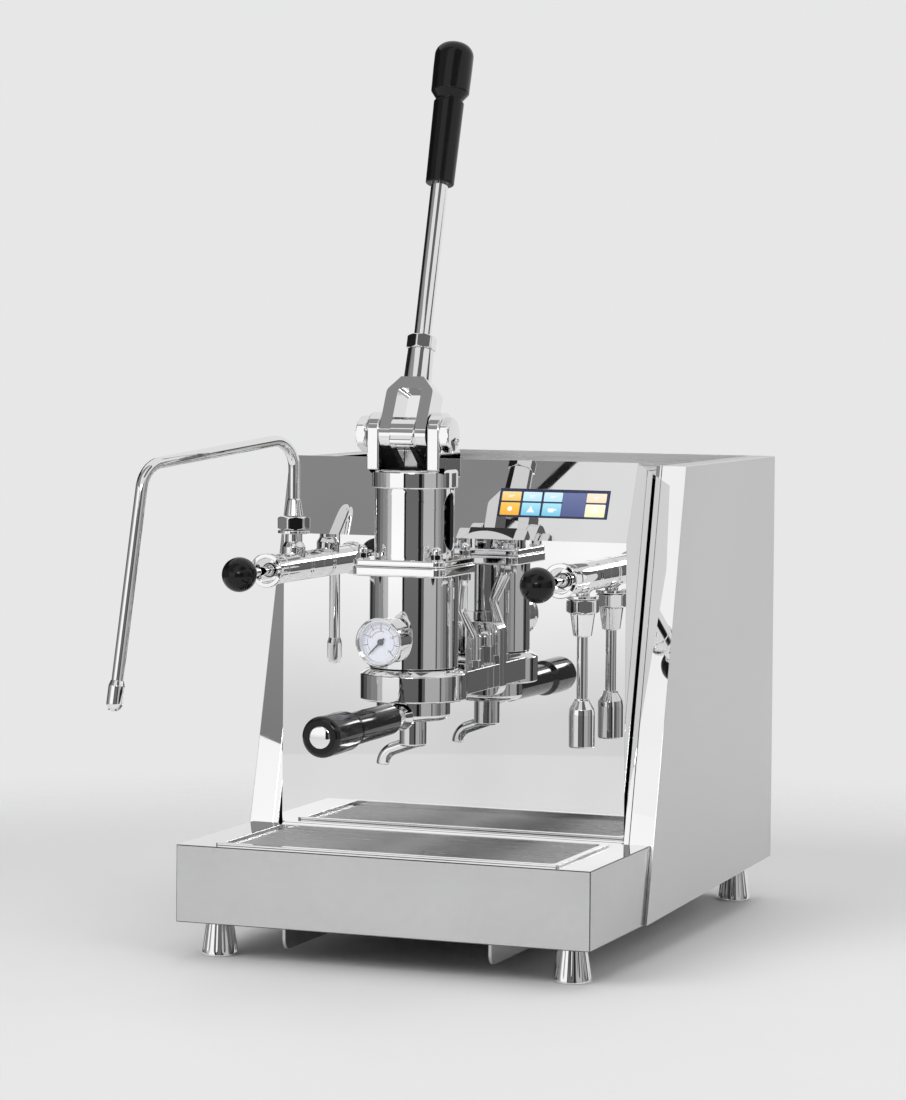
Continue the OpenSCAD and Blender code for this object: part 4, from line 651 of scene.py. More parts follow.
def gripShape(long, radius, head, dome, groove):
    # slim part, shallow groove, flared shoulder and a full head with a domed end
    shoulder = 0.60 * long
    corners = [(0, 0), (radius, 0), (radius + 0.9, shoulder - groove), (radius - 0.5, shoulder - groove + 0.6),
               (radius - 0.5, shoulder), (head - 0.4, shoulder + 0.05 * long), (head, 0.8 * long)]
    body = roundCorners(corners, [0, 1.4, 0.5, 0.5, 1.5, 3.0, 0], 5)
    end = arcPoints((head - dome, long - dome), dome, 0, 90, 16)
    return np.concatenate([body, end, [[0, long]]])


gripProfile = gripShape(lever["gripLong"], lever["gripRadius"], lever["headRadius"], 13, 3)
makePiece("leverGrip", "lever", [onLever(lathe(gripProfile, 96), lever["reach"] - lever["gripLong"])], [blackGrip],
          ["lever_grip"])

# main spring: a round wire on a helix of even pitch, (radius cos, radius sin, rise)
spring = {"low": 296.3, "high": 431.7, "radius": 25.5, "wire": 3.5, "turns": 9, "lift": 44.4}
coilShare = np.linspace(0, 1, spring["turns"] * 40 + 1)
coilAngle = 2 * np.pi * spring["turns"] * coilShare
coilRise = spring["low"] + spring["wire"] + (spring["high"] - spring["low"] - 2 * spring["wire"]) * coilShare
coilPath = np.stack([spring["radius"] * np.cos(coilAngle), group["y"] + spring["radius"] * np.sin(coilAngle),
                     coilRise], 1)
coil = makePiece("springCoil", "machine", [roundTube(coilPath, spring["wire"], (0, 0, 1), 20)], [springSteel],
                 ["main_spring"])
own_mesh(coil)
print("lever done")


# small closed prisms, many at a time: every outline gets a front, a back and its sides
def prisms(outlines, low, high, along="y"):
    outlines = np.asarray(outlines, float)
    count, corners = outlines.shape[:2]
    level = np.array([low, high])
    points = np.empty((count, 2, corners, 3))
    points[..., :2] = outlines[:, None]
    points[..., 2] = level[None, :, None]
    points = points[..., alongAxis[along]].reshape(-1, 3)
    k = np.arange(corners)
    base = (np.arange(count) * 2 * corners)[:, None]
    sides = np.stack([k, (k + 1) % corners, corners + (k + 1) % corners, corners + k], 1)
    faces = (base + k).tolist() + (base + corners + k[::-1]).tolist()
    return points, faces + (base[..., None] + sides).reshape(-1, 4).tolist()


def textSurface(text, size, at, right, up, thick):
    # plain figures turned into a mesh first, then laid off along right and up
    curve = bpy.data.curves.new("figure", "FONT")
    curve.body, curve.size, curve.extrude = text, size, thick / 2
    curve.align_x, curve.align_y, curve.resolution_u = "CENTER", "CENTER", 4
    holder = bpy.data.objects.new("figure", curve)
    scene.collection.objects.link(holder)
    mesh = bpy.data.meshes.new_from_object(holder.evaluated_get(bpy.context.evaluated_depsgraph_get()))
    flat = np.zeros(len(mesh.vertices) * 3)
    mesh.vertices.foreach_get("co", flat)
    faces = [list(p.vertices) for p in mesh.polygons]
    bpy.data.objects.remove(holder)
    bpy.data.meshes.remove(mesh)
    bpy.data.curves.remove(curve)
    return flat.reshape(-1, 3) @ np.stack([right, up, np.cross(right, up)]) + np.asarray(at, float), faces


# pressure gauge, built from its front face backwards
gauge = {"at": (0, -6, 297), "lens": 20, "dial": 18.2, "dialDeep": 7, "start": 225, "sweep": -270,
         "major": 9, "minor": 41, "figures": ["0", "4", "8", "12", "16"], "figureReach": 11.2, "figureSize": 3.4,
         "ink": (-0.12, 0.05), "red": (0.25, 0.56)}


def onGauge(surface):
    return carry(surface, gauge["at"], (0, 1, 0), (1, 0, 0))


def scaleWay(share):  # direction of a share of the scale, across and up as seen from the front
    angle = np.radians(gauge["start"] + gauge["sweep"] * np.asarray(share, float))
    return np.stack([np.cos(angle), np.sin(angle)], -1)


def scaleMarks(shares, inner, outer, half):
    out = scaleWay(shares)[:, None]
    side = np.stack([-out[..., 1], out[..., 0]], -1)
    reach = np.array([inner, outer, outer, inner])[None, :, None]
    wide = np.array([-half, -half, half, half])[None, :, None]
    return reach * out + wide * side


def scaleBand(first, last, inner, outer, count):
    edge = np.linspace(first, last, count + 1)
    a, b = scaleWay(edge[:-1]), scaleWay(edge[1:])
    return np.stack([a * inner, a * outer, b * outer, b * inner], 1)


caseProfile = roundCorners([(0, 8.6), (18.5, 8.6), (18.5, 3.05), (20.1, 3.05), (20.1, 0.6), (20.9, 0), (22, 1.2),
                            (22, 5.2), (21, 6.0), (21, 29.2), (18, 32), (0, 32)],
                           [0, 0, 0.2, 0.2, 0.3, 0.4, 0.8, 0.5, 0.4, 1.0, 1.0, 0], 4)
chromePiece("gaugeCase", "machine", [onGauge(lathe(caseProfile, 120))], "gauge_case")
gaugeNeck = roundCorners([(0, 32), (9, 32), (9, 36), (6.8, 37), (6.8, 41), (6, 42), (6, 48), (0, 48)], 0.5, 3)
chromePiece("gaugeStem", "machine", [onGauge(lathe(gaugeNeck, 64)), onGauge(hexNut(16.5, 36.6, 41.6))], "gauge_stem")
dialFront = gauge["at"][1] + gauge["dialDeep"]
inkMiddle = np.array([0, gauge["at"][2]])
blackMarks = np.concatenate([scaleMarks(np.linspace(0, 1, gauge["major"]), 13.0, 17.2, 0.28),
                             scaleMarks(np.linspace(0, 1, gauge["minor"]), 15.4, 17.2, 0.12),
                             scaleBand(0, 1, 12.75, 13.0, 60)])
redMarks = np.concatenate([scaleBand(*gauge["red"], 9.6, 9.95, 24),
                           scaleMarks(np.linspace(*gauge["red"], 6), 8.4, 9.6, 0.14)])
inkLow, inkHigh = [dialFront + level for level in gauge["ink"]]
dialDisc = [(1.05, gauge["dialDeep"]), (gauge["dial"] - 0.1, gauge["dialDeep"]), (gauge["dial"], 7.1),
            (gauge["dial"], 8.5), (1.05, 8.5)]
dialParts = [onGauge(lathe(dialDisc, 96, closed=True)), (*prisms(blackMarks + inkMiddle, inkLow, inkHigh), 1),
             (*prisms(redMarks + inkMiddle, inkLow, inkHigh), 2)]
for figure, share in zip(gauge["figures"], np.linspace(0, 1, len(gauge["figures"]))):
    spot = gauge["figureReach"] * scaleWay(share) + inkMiddle
    figureAt = (spot[0], dialFront - 0.05, spot[1])
    dialParts.append((*textSurface(figure, gauge["figureSize"], figureAt, (1, 0, 0), (0, 0, 1), 0.14), 1))
makePiece("gaugeDial", "machine", dialParts, [dialEnamelPaintedGlow, dialInk, dialRed], ["gauge_dial"])
needleOut = scaleWay(0)
needleSide = np.array([-needleOut[1], needleOut[0]])
needleOutline = (np.array([(-5, 0.9), (-5, -0.9), (0, -0.95), (14.6, -0.42), (15.4, 0), (14.6, 0.42), (0, 0.95)])
                 @ np.stack([needleOut, needleSide]) + inkMiddle)
needleHub = roundCorners([(0, 4.8), (2.9, 4.9), (3.1, 6.3), (1, 6.3), (1, 8.2), (0, 8.2)], [0, 0.6, 0.2, 0, 0, 0], 4)
makePiece("gaugeNeedle", "needle",
          [slab(needleOutline, dialFront - 1.9, dialFront - 1.0, 0.15, "y", 2), onGauge(lathe(needleHub, 48))],
          [needleBlue], ["gauge_needle"])
lensDome = np.stack([np.linspace(0, gauge["lens"], 13), 0.9 + 0.7 * np.linspace(0, 1, 13) ** 2], 1)
lensProfile = np.concatenate([lensDome, [[gauge["lens"], 2.9], [0, 2.9]]])
makePiece("gaugeLens", "machine", [onGauge(lathe(lensProfile, 96))], [gaugeGlass], ["gauge_lens"])
print("gauge done")

# portafilter: cup with its neck, lugs, handle with a bright end disc, and the spout
cup = {"low": 221, "floor": 225, "rim": 245.9, "radius": 34, "inner": 30.5, "lugLow": 243.3}
handle = {"z": 226, "joint": 18, "long": 154, "radius": 14, "head": 18, "disc": 10}
cupProfile = roundCorners([(0, cup["low"]), (cup["radius"], cup["low"]), (cup["radius"], cup["rim"]),
                           (cup["inner"], cup["rim"]), (cup["inner"], cup["floor"]), (0, cup["floor"])],
                          [0, 5, 0.6, 0.6, 1, 0], 8)
neckProfile = roundCorners([(0, -25), (6, -25), (6, -0.2), (11.5, -0.2), (11.5, 3.5), (9.2, 5), (9, 20), (13, 30),
                            (13, 34), (0, 34)], [0, 0, 0, 0.6, 0.8, 1, 6, 2, 0, 0], 5)
lug = np.array([(33, -8), (39.2, -8), (40, -3), (40, 3), (39.2, 8), (33, 8)], float)
lugs = [slab(side * lug + [0, group["y"]], cup["lugLow"], cup["rim"], 0.4, "z") for side in (1, -1)]
chromePiece("portafilterCup", "portafilter",
            [carry(lathe(cupProfile, 120), groupAt),
             carry(lathe(neckProfile, 64), (0, handle["joint"], handle["z"]), (0, 1, 0))] + lugs, "portafilter_body")
handleProfile = gripShape(handle["long"], handle["radius"], handle["head"], 5, 3)
faceFrom = np.argmax(handleProfile[:, 1] > handle["long"] - 0.35)


def onHandle(surface):
    return carry(surface, (0, handle["joint"], handle["z"]), (0, -1, 0), (1, 0, 0))


makePiece("portafilterHandle", "portafilter",
          [onHandle(lathe(handleProfile[:faceFrom + 1], 96)), (*onHandle(lathe(handleProfile[faceFrom:], 96)), 1)],
          [blackGloss, gripFace], ["portafilter_handle"])
discDome = arcPoints((0, handle["long"] - 45.6), 46.6, 90, 78.2, 10)
discBack = handle["long"] - 1.0
discProfile = np.concatenate([discDome, [[handle["disc"], discBack + 0.6], [handle["disc"], discBack], [0, discBack]]])
chromePiece("handleDisc", "portafilter", [onHandle(lathe(discProfile, 72))], "handle_cap")

spout = {"radius": 12.5, "low": 196, "screw": 5, "beak": 6.0, "bore": 4.4, "bend": 15.5, "middle": (-13.74, 177.88),
         "slope": 20.0, "fall": 86.0, "start": 4.5, "deep": 14}


def beakSurface():
    # rings round a path that slopes off to the left and bends down:
    # a round start, the outer wall, the lip and the bore
    angle = np.radians(np.linspace(spout["slope"], spout["fall"], 26))
    x = spout["middle"][0] - spout["bend"] * np.sin(angle)
    z = spout["middle"][1] + spout["bend"] * np.cos(angle)
    along = np.linspace(spout["start"] - x[0], 0, 8)[:-1]
    x = np.concatenate([x[0] + along, x, x[-1:] - 0.03, x[-1:] - 0.065])
    z = np.concatenate([z[0] + along * math.tan(angle[0]), z, z[-1:] - 0.45, z[-1:] - 0.93])
    path = np.stack([x, 0 * x + group["y"], z], 1)
    ahead = unit(np.gradient(path, axis=0))
    side, last = np.array([0, 1, 0]), len(path) - 1
    turn = np.linspace(0, np.pi / 2, 9)[:-1]
    inner = last - spout["deep"]
    order = np.concatenate([0 * turn, np.arange(last + 1), np.arange(last, inner, -1), [inner + 1]]).astype(int)
    radius = np.concatenate([spout["beak"] * np.sin(turn), np.full(last, spout["beak"]), [spout["beak"] - 0.45],
                             [spout["bore"] + 0.35], np.full(spout["deep"] - 1, spout["bore"]), [0]])
    back = np.concatenate([spout["beak"] * np.cos(turn), np.zeros(len(order) - len(turn))])
    up = np.cross(ahead, side)
    around = np.linspace(0, 2 * np.pi, 48, endpoint=False)[None, :, None]
    ring = np.cos(around) * side + np.sin(around) * up[order][:, None]
    centre = path[order] - back[:, None] * ahead[order]
    return gridSurface(centre[:, None] + radius[:, None, None] * ring, closeV=True)


spoutProfile = roundCorners([(0, spout["low"]), (spout["radius"], spout["low"]), (spout["radius"], cup["low"]),
                             (spout["screw"], cup["low"]), (spout["screw"], cup["floor"]), (0, cup["floor"])],
                            [0, 2.0, 1.0, 0.4, 0.4, 0], 6)
chromePiece("spoutBody", "portafilter", [carry(lathe(spoutProfile, 72), groupAt), beakSurface()], "spout")
print("portafilter done")

# taps: valve body with ring grooves and a recess, outlet, gland, joystick and wand
tap = {"x": 144, "z": 352, "front": 71, "rear": 176, "radius": 14, "outletY": 135, "ballY": 12, "ballRadius": 16,
       "jointY": 80, "upNeck": 31, "downNeck": 17, "groove": 1.0}


def groove(at):  # corners of a ring groove, from its front edge back
    wall, foot = tap["radius"], tap["radius"] - tap["groove"]
    return [(wall, at), (foot, at + 0.5), (foot, at + 2.0), (wall, at + 2.5)]


valveCorners = ([(0, 87.3), (11.5, 87.3), (11.5, tap["front"]), (15.3, tap["front"]), (16, 71.8), (16, 76),
                 (tap["radius"], 78.2)] + groove(93) + groove(146) + groove(151)
                + [(tap["radius"], tap["rear"]), (9, tap["rear"]), (9, 196), (0, 196)])
valveProfile = roundCorners(valveCorners, [0, 0, 0.7, 0.5, 0.6, 0.8, 1.5] + [0.25] * 12 + [0.3, 0, 0, 0], 3)
outletUp = roundCorners([(0, 0), (11, 0), (11, 19), (8.2, 23.5), (8, tap["upNeck"]), (0, tap["upNeck"])],
                        [0, 0, 2.5, 2, 0.3, 0], 5)
outletDown = roundCorners([(0, 0), (11, 0), (10.6, 11), (6.5, 14.5), (6.3, tap["downNeck"]), (0, tap["downNeck"])],
                          [0, 0, 2, 1.5, 0.2, 0], 5)
washerProfile = roundCorners([(0, 0.1), (15, 0.1), (15, 3.4), (0, 3.4)], 0.7, 4)
stemProfile = roundCorners([(0, -70), (3.5, -70), (3.5, -51), (6, -51), (6, -48), (4.5, -45), (3.6, -6), (0, -6)],
                           [0, 0, 0, 0.6, 0.6, 1, 0, 0], 4)
jointProfile = arcPoints((0, 0), 7, -90, 90, 24)
ballProfile = np.concatenate([arcPoints((0, 0), tap["ballRadius"], -90, 77.4, 48),
                              [[3.52, 14.2], [3.52, -2.2], [0, -2.2]]])


def tapPieces(side, name, upwards):
    x, z = side * tap["x"], tap["z"]
    lift = (0, 0, 1) if upwards else (0, 0, -1)
    outlet = (x, tap["outletY"], z)
    neck = tap["upNeck"] if upwards else tap["downNeck"]
    chromePiece(name + "Valve", "machine",
                [carry(lathe(valveProfile, 96), (x, 0, z), (0, 1, 0)),
                 carry(lathe(outletUp if upwards else outletDown, 64), outlet, lift)], name + "_tap")
    glandAt = (x, tap["outletY"], z + lift[2] * neck)
    glandParts = (lathe(washerProfile, 72), hexNut(27, 3.6, 16.4))
    chromePiece(name + "Gland", "machine", [carry(part, glandAt, lift) for part in glandParts], name + "_gland")
    stemParts = (lathe(stemProfile, 48), lathe(jointProfile, 48))
    chromePiece(name + "Stem", name + "_joystick",
                [carry(part, (x, tap["jointY"], z), (0, 1, 0)) for part in stemParts], name + "_stem")
    makePiece(name + "Ball", name + "_joystick", [carry(lathe(ballProfile, 72), (x, tap["ballY"], z), (0, 1, 0))],
              [blackGrip], [name + "_ball"])


tapPieces(-1, "steam", True)
tapPieces(1, "water", False)

wand = {"radius": 5.5, "bend": 26, "swivel": (-144, 135, 399.6), "corner": (-144, 135, 473.6),
        "elbow": (-213, -44, 451.6), "foot": (-226, -77, 232), "tip": 28, "holes": 4, "holeReach": 5.0, "holeAt": 25.9}
legWay = unit(np.subtract(wand["foot"], wand["elbow"]))
legEnd = np.array(wand["foot"]) - legWay * wand["tip"]
wandCorners = [wand["swivel"], wand["corner"], wand["elbow"], legEnd + legWay]
wandPath = dropRepeats(roundCorners(wandCorners, wand["bend"], 20))
coneProfile = roundCorners([(0, 0), (8.75, 0), (6.25, 15), (5.6, 16.3), (0, 16.3)], [0, 0.5, 1, 0.3, 0], 4)
coneAt = np.add(wand["swivel"], (0, 0, 0.2))
chromePiece("steamWand", "steam_pipe", [roundTube(wandPath, wand["radius"], (179, -69, 0), 40),
                                        carry(lathe(coneProfile, 64), coneAt)], "steam_wand")
tipProfile = np.concatenate([roundCorners([(0, 0), (5.9, 0), (7.5, 5), (7.5, 20.5)], [0, 0.6, 2, 0], 5),
                             arcPoints((0, 20.5), 7.5, 0, 75, 10), [[0, 28]]])
holeTurns = 2 * np.pi * (np.arange(wand["holes"])[:, None] + 0.5) / wand["holes"]
holeWays = np.cos(holeTurns) * unit(np.cross(legWay, (0, 1, 0))) + np.sin(holeTurns) * np.array([0, 1, 0])
holeSpots = legEnd + legWay * wand["holeAt"] + wand["holeReach"] * holeWays
# the holes are flat discs in the black finish: painted shade standing for the openings
holeDisc = lathe([(0, 0), (0.8, 0), (0.8, 0.5), (0, 0.5)], 16)
tipHoles = [(*carry(holeDisc, spot, legWay), 1) for spot in holeSpots]
makePiece("steamTip", "steam_pipe", [carry(lathe(tipProfile, 64), legEnd, legWay)] + tipHoles, [chrome, paintedShadeFinish],
          ["steam_tip"])

waterAt = (tap["x"], tap["outletY"], 0)
waterTube = roundCorners([(0, 238), (5, 238), (5, 297), (0, 297)], 0.2, 2)
waterCone = roundCorners([(0, 297.5), (8.5, 297.5), (11.4, 318.3), (0, 318.3)], [0, 1.0, 0.5, 0], 4)
waterTipProfile = roundCorners([(0, 201), (9.4, 201), (9.4, 196), (11.4, 196), (12, 197), (12, 226), (11.3, 231),
                                (6.8, 238.5), (6.5, 240.5), (0, 240.5)], [0, 0.5, 0.4, 0.5, 0.6, 3, 3, 2, 0.4, 0], 5)
chromePiece("waterWand", "water_pipe",
            [carry(lathe(waterTube, 48), waterAt), carry(lathe(waterCone, 64), waterAt)], "water_wand")
chromePiece("waterTip", "water_pipe", [carry(lathe(waterTipProfile, 64), waterAt)], "water_tip")
print("taps done")

# display: glass bar flush with the leaning panel, lit fields and plain signs on it
display = {"at": (95, 176, 381), "lean": 24.0, "up": 37.0, "wide": 108.0, "high": 28.0, "deep": 14.0,
           "columns": [(0.02, 0.195), (0.215, 0.385), (0.405, 0.575), (0.795, 0.975)],
           "rows": [(0.57, 0.90), (0.06, 0.51)], "blank": (8.5, 31.5, -12.3, 11.2)}
slopeUp = np.array([0, math.sin(math.radians(display["lean"])), math.cos(math.radians(display["lean"]))])
slopeOut = np.array([0, -slopeUp[2], slopeUp[1]])
displayMiddle = np.array(display["at"], float) + display["up"] * slopeUp


def onPanel(surface):
    points, faces = surface
    return points @ np.stack([(1, 0, 0), slopeUp, slopeOut]) + displayMiddle, faces


def field(column, row):  # corners of a lit field, from its shares of the screen
    x0, x1 = [(share - 0.5) * display["wide"] for share in display["columns"][column]]
    y0, y1 = [(share - 0.5) * display["high"] for share in display["rows"][row]]
    return x0, x1, y0, y1


screenLow, screenMiddle, screenHigh = [toFrame(displayMiddle + side * display["high"] / 2 * slopeUp)[2]
                                       for side in (-1, 0, 1)]
orangeLow = litFinish("litOrange", (0.95, 0.42, 0.02), (1.0, 0.62, 0.10), screenLow, screenMiddle)
orangeHigh = litFinish("litAmber", (0.98, 0.55, 0.08), (1.0, 0.80, 0.38), screenMiddle, screenHigh)
blueLow = litFinish("litBlue", (0.16, 0.55, 0.80), (0.42, 0.82, 0.95), screenLow, screenMiddle)
blueHigh = litFinish("litSky", (0.45, 0.80, 0.96), (0.75, 0.93, 1.0), screenMiddle, screenHigh)
paleLow = litFinish("litYellow", (0.93, 0.93, 0.50), (1.0, 0.99, 0.80), screenLow, screenMiddle)
paleHigh = litFinish("litPeach", (1.0, 0.78, 0.52), (1.0, 0.88, 0.74), screenMiddle, screenHigh)
blankBlue = litFinish("litBlank", (0.075, 0.10, 0.25), (0.15, 0.185, 0.38), screenLow, screenHigh)
signWhite = litFinish("litSign", (0.95, 0.97, 0.96), (1.0, 1.0, 1.0), screenLow, screenHigh)
screenFinishes = [screenGlass, orangeHigh, orangeLow, blueHigh, blueLow, paleHigh, paleLow, blankBlue, signWhite]
fieldFinish = {(0, 0): 1, (0, 1): 2, (1, 0): 3, (1, 1): 4, (2, 0): 3, (2, 1): 4, (3, 0): 5, (3, 1): 6}
halfWide, halfHigh = display["wide"] / 2, display["high"] / 2
glassOutline = roundCorners(rectangle(-halfWide, halfWide, -halfHigh, halfHigh), 1.5, 4, closed=True)
screen = [onPanel(slab(glassOutline, -display["deep"], 0, 0.4, "z")),
          (*onPanel(prisms([rectangle(*display["blank"])], -0.1, 0.06, "z")), 7)]
for (column, row), finish in fieldFinish.items():
    fieldOutline = roundCorners(rectangle(*field(column, row)), 0.7, 3, closed=True)
    screen.append((*onPanel(slab(fieldOutline, -0.2, 0.14, 0.06, "z", 2)), finish))
signs = {"bars": [rectangle(-3, -1.6, -2.5, 0.5), rectangle(-0.7, 0.7, -2.5, 2.5), rectangle(1.6, 3, -2.5, 1.2)],
         "peak": [np.array([(-4, -3.2), (4, -3.2), (1.2, 0.4), (0, 3.4)])],
         "cup": [np.array([(-3, -2.6), (2, -2.6), (3, 1.2), (-4, 1.2)]),
                 np.array([(3.2, -1.2), (4.6, -0.8), (4.8, 0.6), (3.4, 0.8)])],
         "lines": [rectangle(-4, 4, 0.6, 1.5), rectangle(-4, 2, -1.5, -0.6)],
         "dot": [arcPoints((0, 0), 2.4, 0, 342, 20)]}
signPlaces = {(0, 1): "dot", (1, 1): "peak", (2, 1): "cup", (3, 1): "bars",
              (0, 0): "lines", (1, 0): "lines", (2, 0): "lines", (3, 0): "lines"}
for place, sign in signPlaces.items():
    x0, x1, y0, y1 = field(*place)
    shift, size = np.array([(x0 + x1) / 2, (y0 + y1) / 2]), 1.0 if place[1] else 0.72
    for outline in signs[sign]:
        screen.append((*onPanel(prisms([outline * size + shift], 0.05, 0.22, "z")), 8))
makePiece("displayScreen", "machine", screen, screenFinishes, ["display"])
print("display done")

# CAD nodes that stay as they are, with their finishes
plainNodes = {"rear_cover": coverSteel, "base_chassis": zincSheet, "control_box": zincSheet, "steam_boiler": copper,
              "brew_boiler": copper, "water_tank": tankPlastic, "pump": motorPaint, "group_gasket": sealRubber,
              "shower_screen": satinSteel, "piston": brass, "piston_seals": sealRubber, "piston_rod": satinSteel,
              "crank_pin": chrome, "filter_basket": satinSteel}
for node, finish in plainNodes.items():
    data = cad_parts[node].data
    data.materials.clear()
    data.materials.append(finish)

# studio: pale floor that fades into a pale surround, soft lights, and a round screen that only polished metal sees
studio = {"pale": 0.80, "ambient": 0.33, "floorTone": 0.80, "floorSolid": 0.55, "floorEnd": 1.30,
          "floorReach": 1400, "floorY": 280, "floorZ": -0.2}
lights = [{"name": "keyLight", "at": (-1500, -2300, 2300), "size": (2.4, 2.0), "power": 62},
          {"name": "fillLight", "at": (2300, -900, 1500), "size": (1.6, 2.0), "power": 22},
          {"name": "topLight", "at": (200, 700, 2600), "size": (2.0, 2.0), "power": 26}]
# the screen's strips: headings off the front towards the right, heights, brightness at the foot and above the knee
lightRing = {"middle": (0, 100), "reach": 1900, "knee": 240}
strips = [((-140, -75), (900, 1800), (0.012, 0.015)), ((-75, -60), (900, 1800), (0.18, 0.20)),
          ((-140, -110), (-60, 900), (0.02, 0.03)), ((-110, -95), (-60, 900), (0.08, 0.10)),
          ((-95, -80), (-60, 900), (0.18, 0.20)), ((-80, -60), (-60, 900), (0.24, 0.27)),
          ((-60, -47), (-60, 850), (0.48, 0.52)), ((-47, -8), (-60, 850), (0.74, 1.05)),
          ((-60, -19), (850, 1700), (0.22, 0.28)), ((-19, -8), (850, 1700), (1.0, 1.0)),
          ((-8, -3), (-60, 900), (0.012, 0.012)), ((-3, 32), (-60, 760), (0.12, 0.15)),
          ((5, 20), (780, 980), (9.0, 9.0)), ((32, 40), (-60, 900), (0.01, 0.01)),
          ((40, 46), (-60, 900), (0.11, 0.12)), ((46, 79), (-60, 1000), (0.42, 0.48)),
          ((79, 83), (-60, 1000), (0.09, 0.10)), ((83, 93), (-60, 1000), (0.36, 0.38)),
          ((93, 101), (-60, 1000), (0.27, 0.30)), ((101, 112), (-60, 1000), (0.17, 0.20)),
          ((112, 125), (-60, 1000), (0.06, 0.08))]
# grey cards above: the left one has a slanting edge with a black border
overhead = {"left": -1900, "far": (-1900, -1336), "near": (-300, 264), "border": 20, "z": 1830, "tone": 0.26,
            "borderTone": 0.012, "right": (560, 1900), "rightTone": 0.13}
aim = np.array([0, 200, 330])


def facing(at):  # turn that points an object's -Z at the machine
    return Vector(aim - np.asarray(at, float)).to_track_quat("-Z", "Y")


def addFloor():
    # rings of a flat disc; the colour stays solid under the machine and fades out with the distance
    material, tree, shader = newFinish("paleFloor", {"Roughness": 0.6})
    place = tree.nodes.new("ShaderNodeTexCoord")
    length = tree.nodes.new("ShaderNodeVectorMath")
    length.operation = "LENGTH"
    shift = tree.nodes.new("ShaderNodeMapping")
    shift.inputs["Location"].default_value = -Vector(toFrame((0, studio["floorY"], 0)))
    tree.links.new(place.outputs["Object"], shift.inputs["Vector"])
    tree.links.new(shift.outputs["Vector"], length.inputs[0])
    fade = mapRange(tree, length.outputs["Value"], studio["floorSolid"], studio["floorEnd"], 1.0, 0.0)
    fade.interpolation_type = "SMOOTHSTEP"
    tree.links.new(fade.outputs["Result"], shader.inputs["Alpha"])
    broad = noiseField(tree, 6)
    tone = studio["floorTone"]
    tree.links.new(tint(tree, broad, [(0.2, grey(tone * 0.985)), (0.8, grey(tone))]), shader.inputs["Base Color"])
    points, faces = lathe([(0, 0), (studio["floorReach"] / 2, 0), (studio["floorReach"], 0)], 64)
    mesh = bpy.data.meshes.new("floor")
    mesh.from_pydata(toFrame(points + [0, studio["floorY"], studio["floorZ"]]).tolist(), [], faces)
    mesh.materials.append(material)
    floor = bpy.data.objects.new("floor", mesh)
    scene.collection.objects.link(floor)


def addLights():
    for light in lights:
        data = bpy.data.lights.new(light["name"], "AREA")
        data.shape, data.size, data.size_y, data.energy = "RECTANGLE", *light["size"], light["power"]
        lamp = bpy.data.objects.new(light["name"], data)
        lamp.location = Vector(toFrame(light["at"]))
        lamp.rotation_mode, lamp.rotation_quaternion = "QUATERNION", facing(light["at"])
        lamp.visible_camera = lamp.visible_glossy = False
        scene.collection.objects.link(lamp)


def addCard(name, surface, foot, knee, tones):
    # a card that gives its own light, brighter from foot to knee, and that only glossy rays meet
    points, faces = surface
    material, tree, shader = newFinish(name, {"Base Color": (0, 0, 0, 1), "Roughness": 1.0, "Specular IOR Level": 0.0,
                                              "Emission Strength": 1.0})
    tree.links.new(heightRun(tree, foot / 1000, knee / 1000, *tones), shader.inputs["Emission Color"])
    mesh = bpy.data.meshes.new(name)
    mesh.from_pydata(toFrame(points).tolist(), [], faces)
    mesh.materials.append(material)
    card = bpy.data.objects.new(name, mesh)
    scene.collection.objects.link(card)
    card.visible_camera = card.visible_diffuse = card.visible_shadow = card.visible_transmission = False


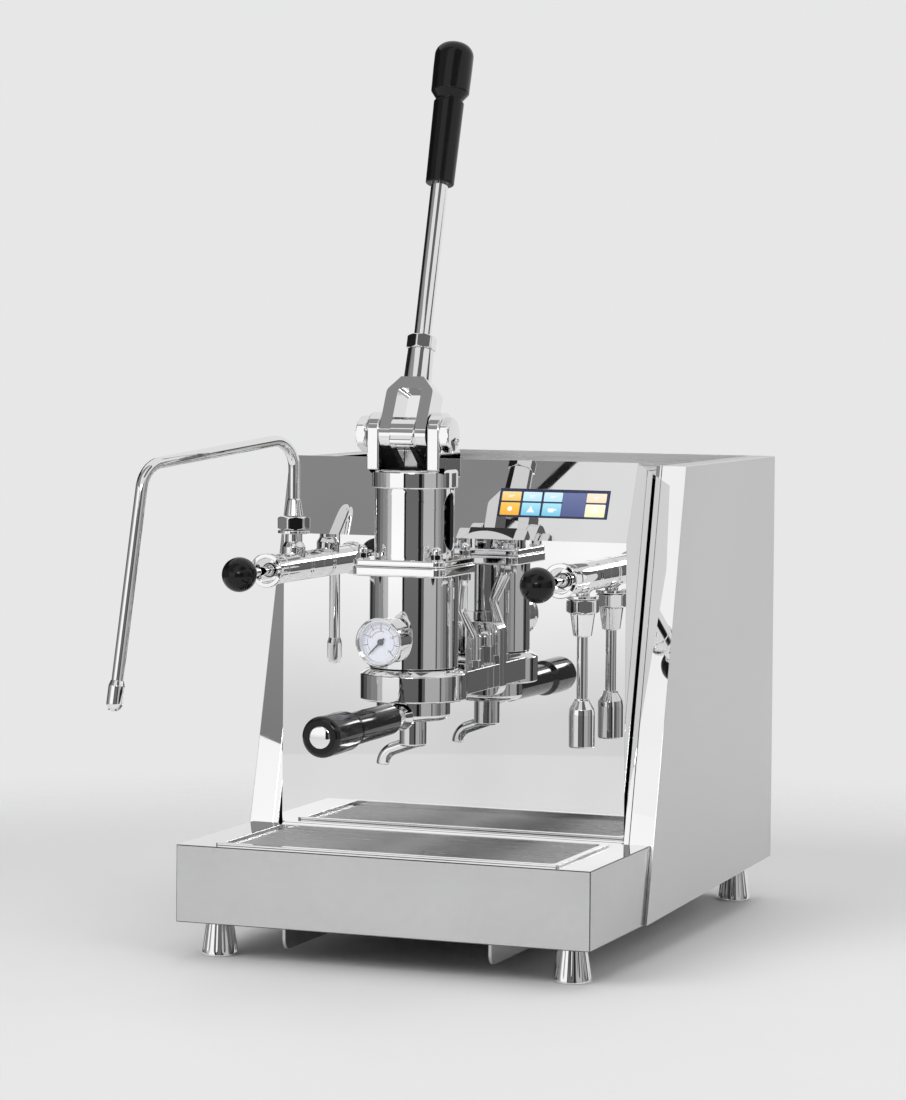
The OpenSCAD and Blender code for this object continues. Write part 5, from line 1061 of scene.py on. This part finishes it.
def addCards():
    for number, (turn, rise, tones) in enumerate(strips):
        heading = np.radians(np.linspace(*turn, 9))[:, None]
        height = np.array(rise, float)[None, :]
        x = lightRing["middle"][0] + lightRing["reach"] * np.sin(heading) + 0 * height
        y = lightRing["middle"][1] - lightRing["reach"] * np.cos(heading) + 0 * height
        base = max(rise[0], 0)
        surface = gridSurface(np.stack([x, y, height + 0 * heading], -1))
        addCard(f"strip{number}", surface, base, base + lightRing["knee"], tones)
    y = np.array([overhead["far"][0], overhead["near"][0]], float)
    right = np.array([overhead["far"][1], overhead["near"][1]], float)
    for name, edges, tone in (("overheadCard", (0 * right + overhead["left"], right), overhead["tone"]),
                              ("overheadBorder", (right, right + overhead["border"]), overhead["borderTone"]),
                              ("overheadRight", [0 * right + x for x in overhead["right"]], overhead["rightTone"])):
        corners = np.stack([np.stack([x, y, 0 * y + overhead["z"]], 1) for x in edges])
        addCard(name, gridSurface(corners), overhead["z"] - 10, overhead["z"], (tone, tone))


def addWorld():
    # the surround is pale to the eye and in polished metal, and gives a softer ambient light
    world = bpy.data.worlds.new("studio")
    scene.world = world
    world.use_nodes = True
    tree = world.node_tree
    tree.nodes["Background"].inputs["Color"].default_value = (*grey(studio["ambient"]), 1)
    pale = tree.nodes.new("ShaderNodeBackground")
    pale.inputs["Color"].default_value = (*grey(studio["pale"]), 1)
    path = tree.nodes.new("ShaderNodeLightPath")
    first, second = tree.nodes.new("ShaderNodeMath"), tree.nodes.new("ShaderNodeMath")
    first.operation = second.operation = "MAXIMUM"
    mix = tree.nodes.new("ShaderNodeMixShader")
    tree.links.new(path.outputs["Is Camera Ray"], first.inputs[0])
    tree.links.new(path.outputs["Is Glossy Ray"], first.inputs[1])
    tree.links.new(first.outputs["Value"], second.inputs[0])
    tree.links.new(path.outputs["Is Transmission Ray"], second.inputs[1])
    tree.links.new(second.outputs["Value"], mix.inputs["Fac"])
    tree.links.new(tree.nodes["Background"].outputs["Background"], mix.inputs[1])
    tree.links.new(pale.outputs["Background"], mix.inputs[2])
    tree.links.new(mix.outputs["Shader"], tree.nodes["World Output"].inputs["Surface"])


addCamera()
addFloor()
addLights()
addCards()
addWorld()
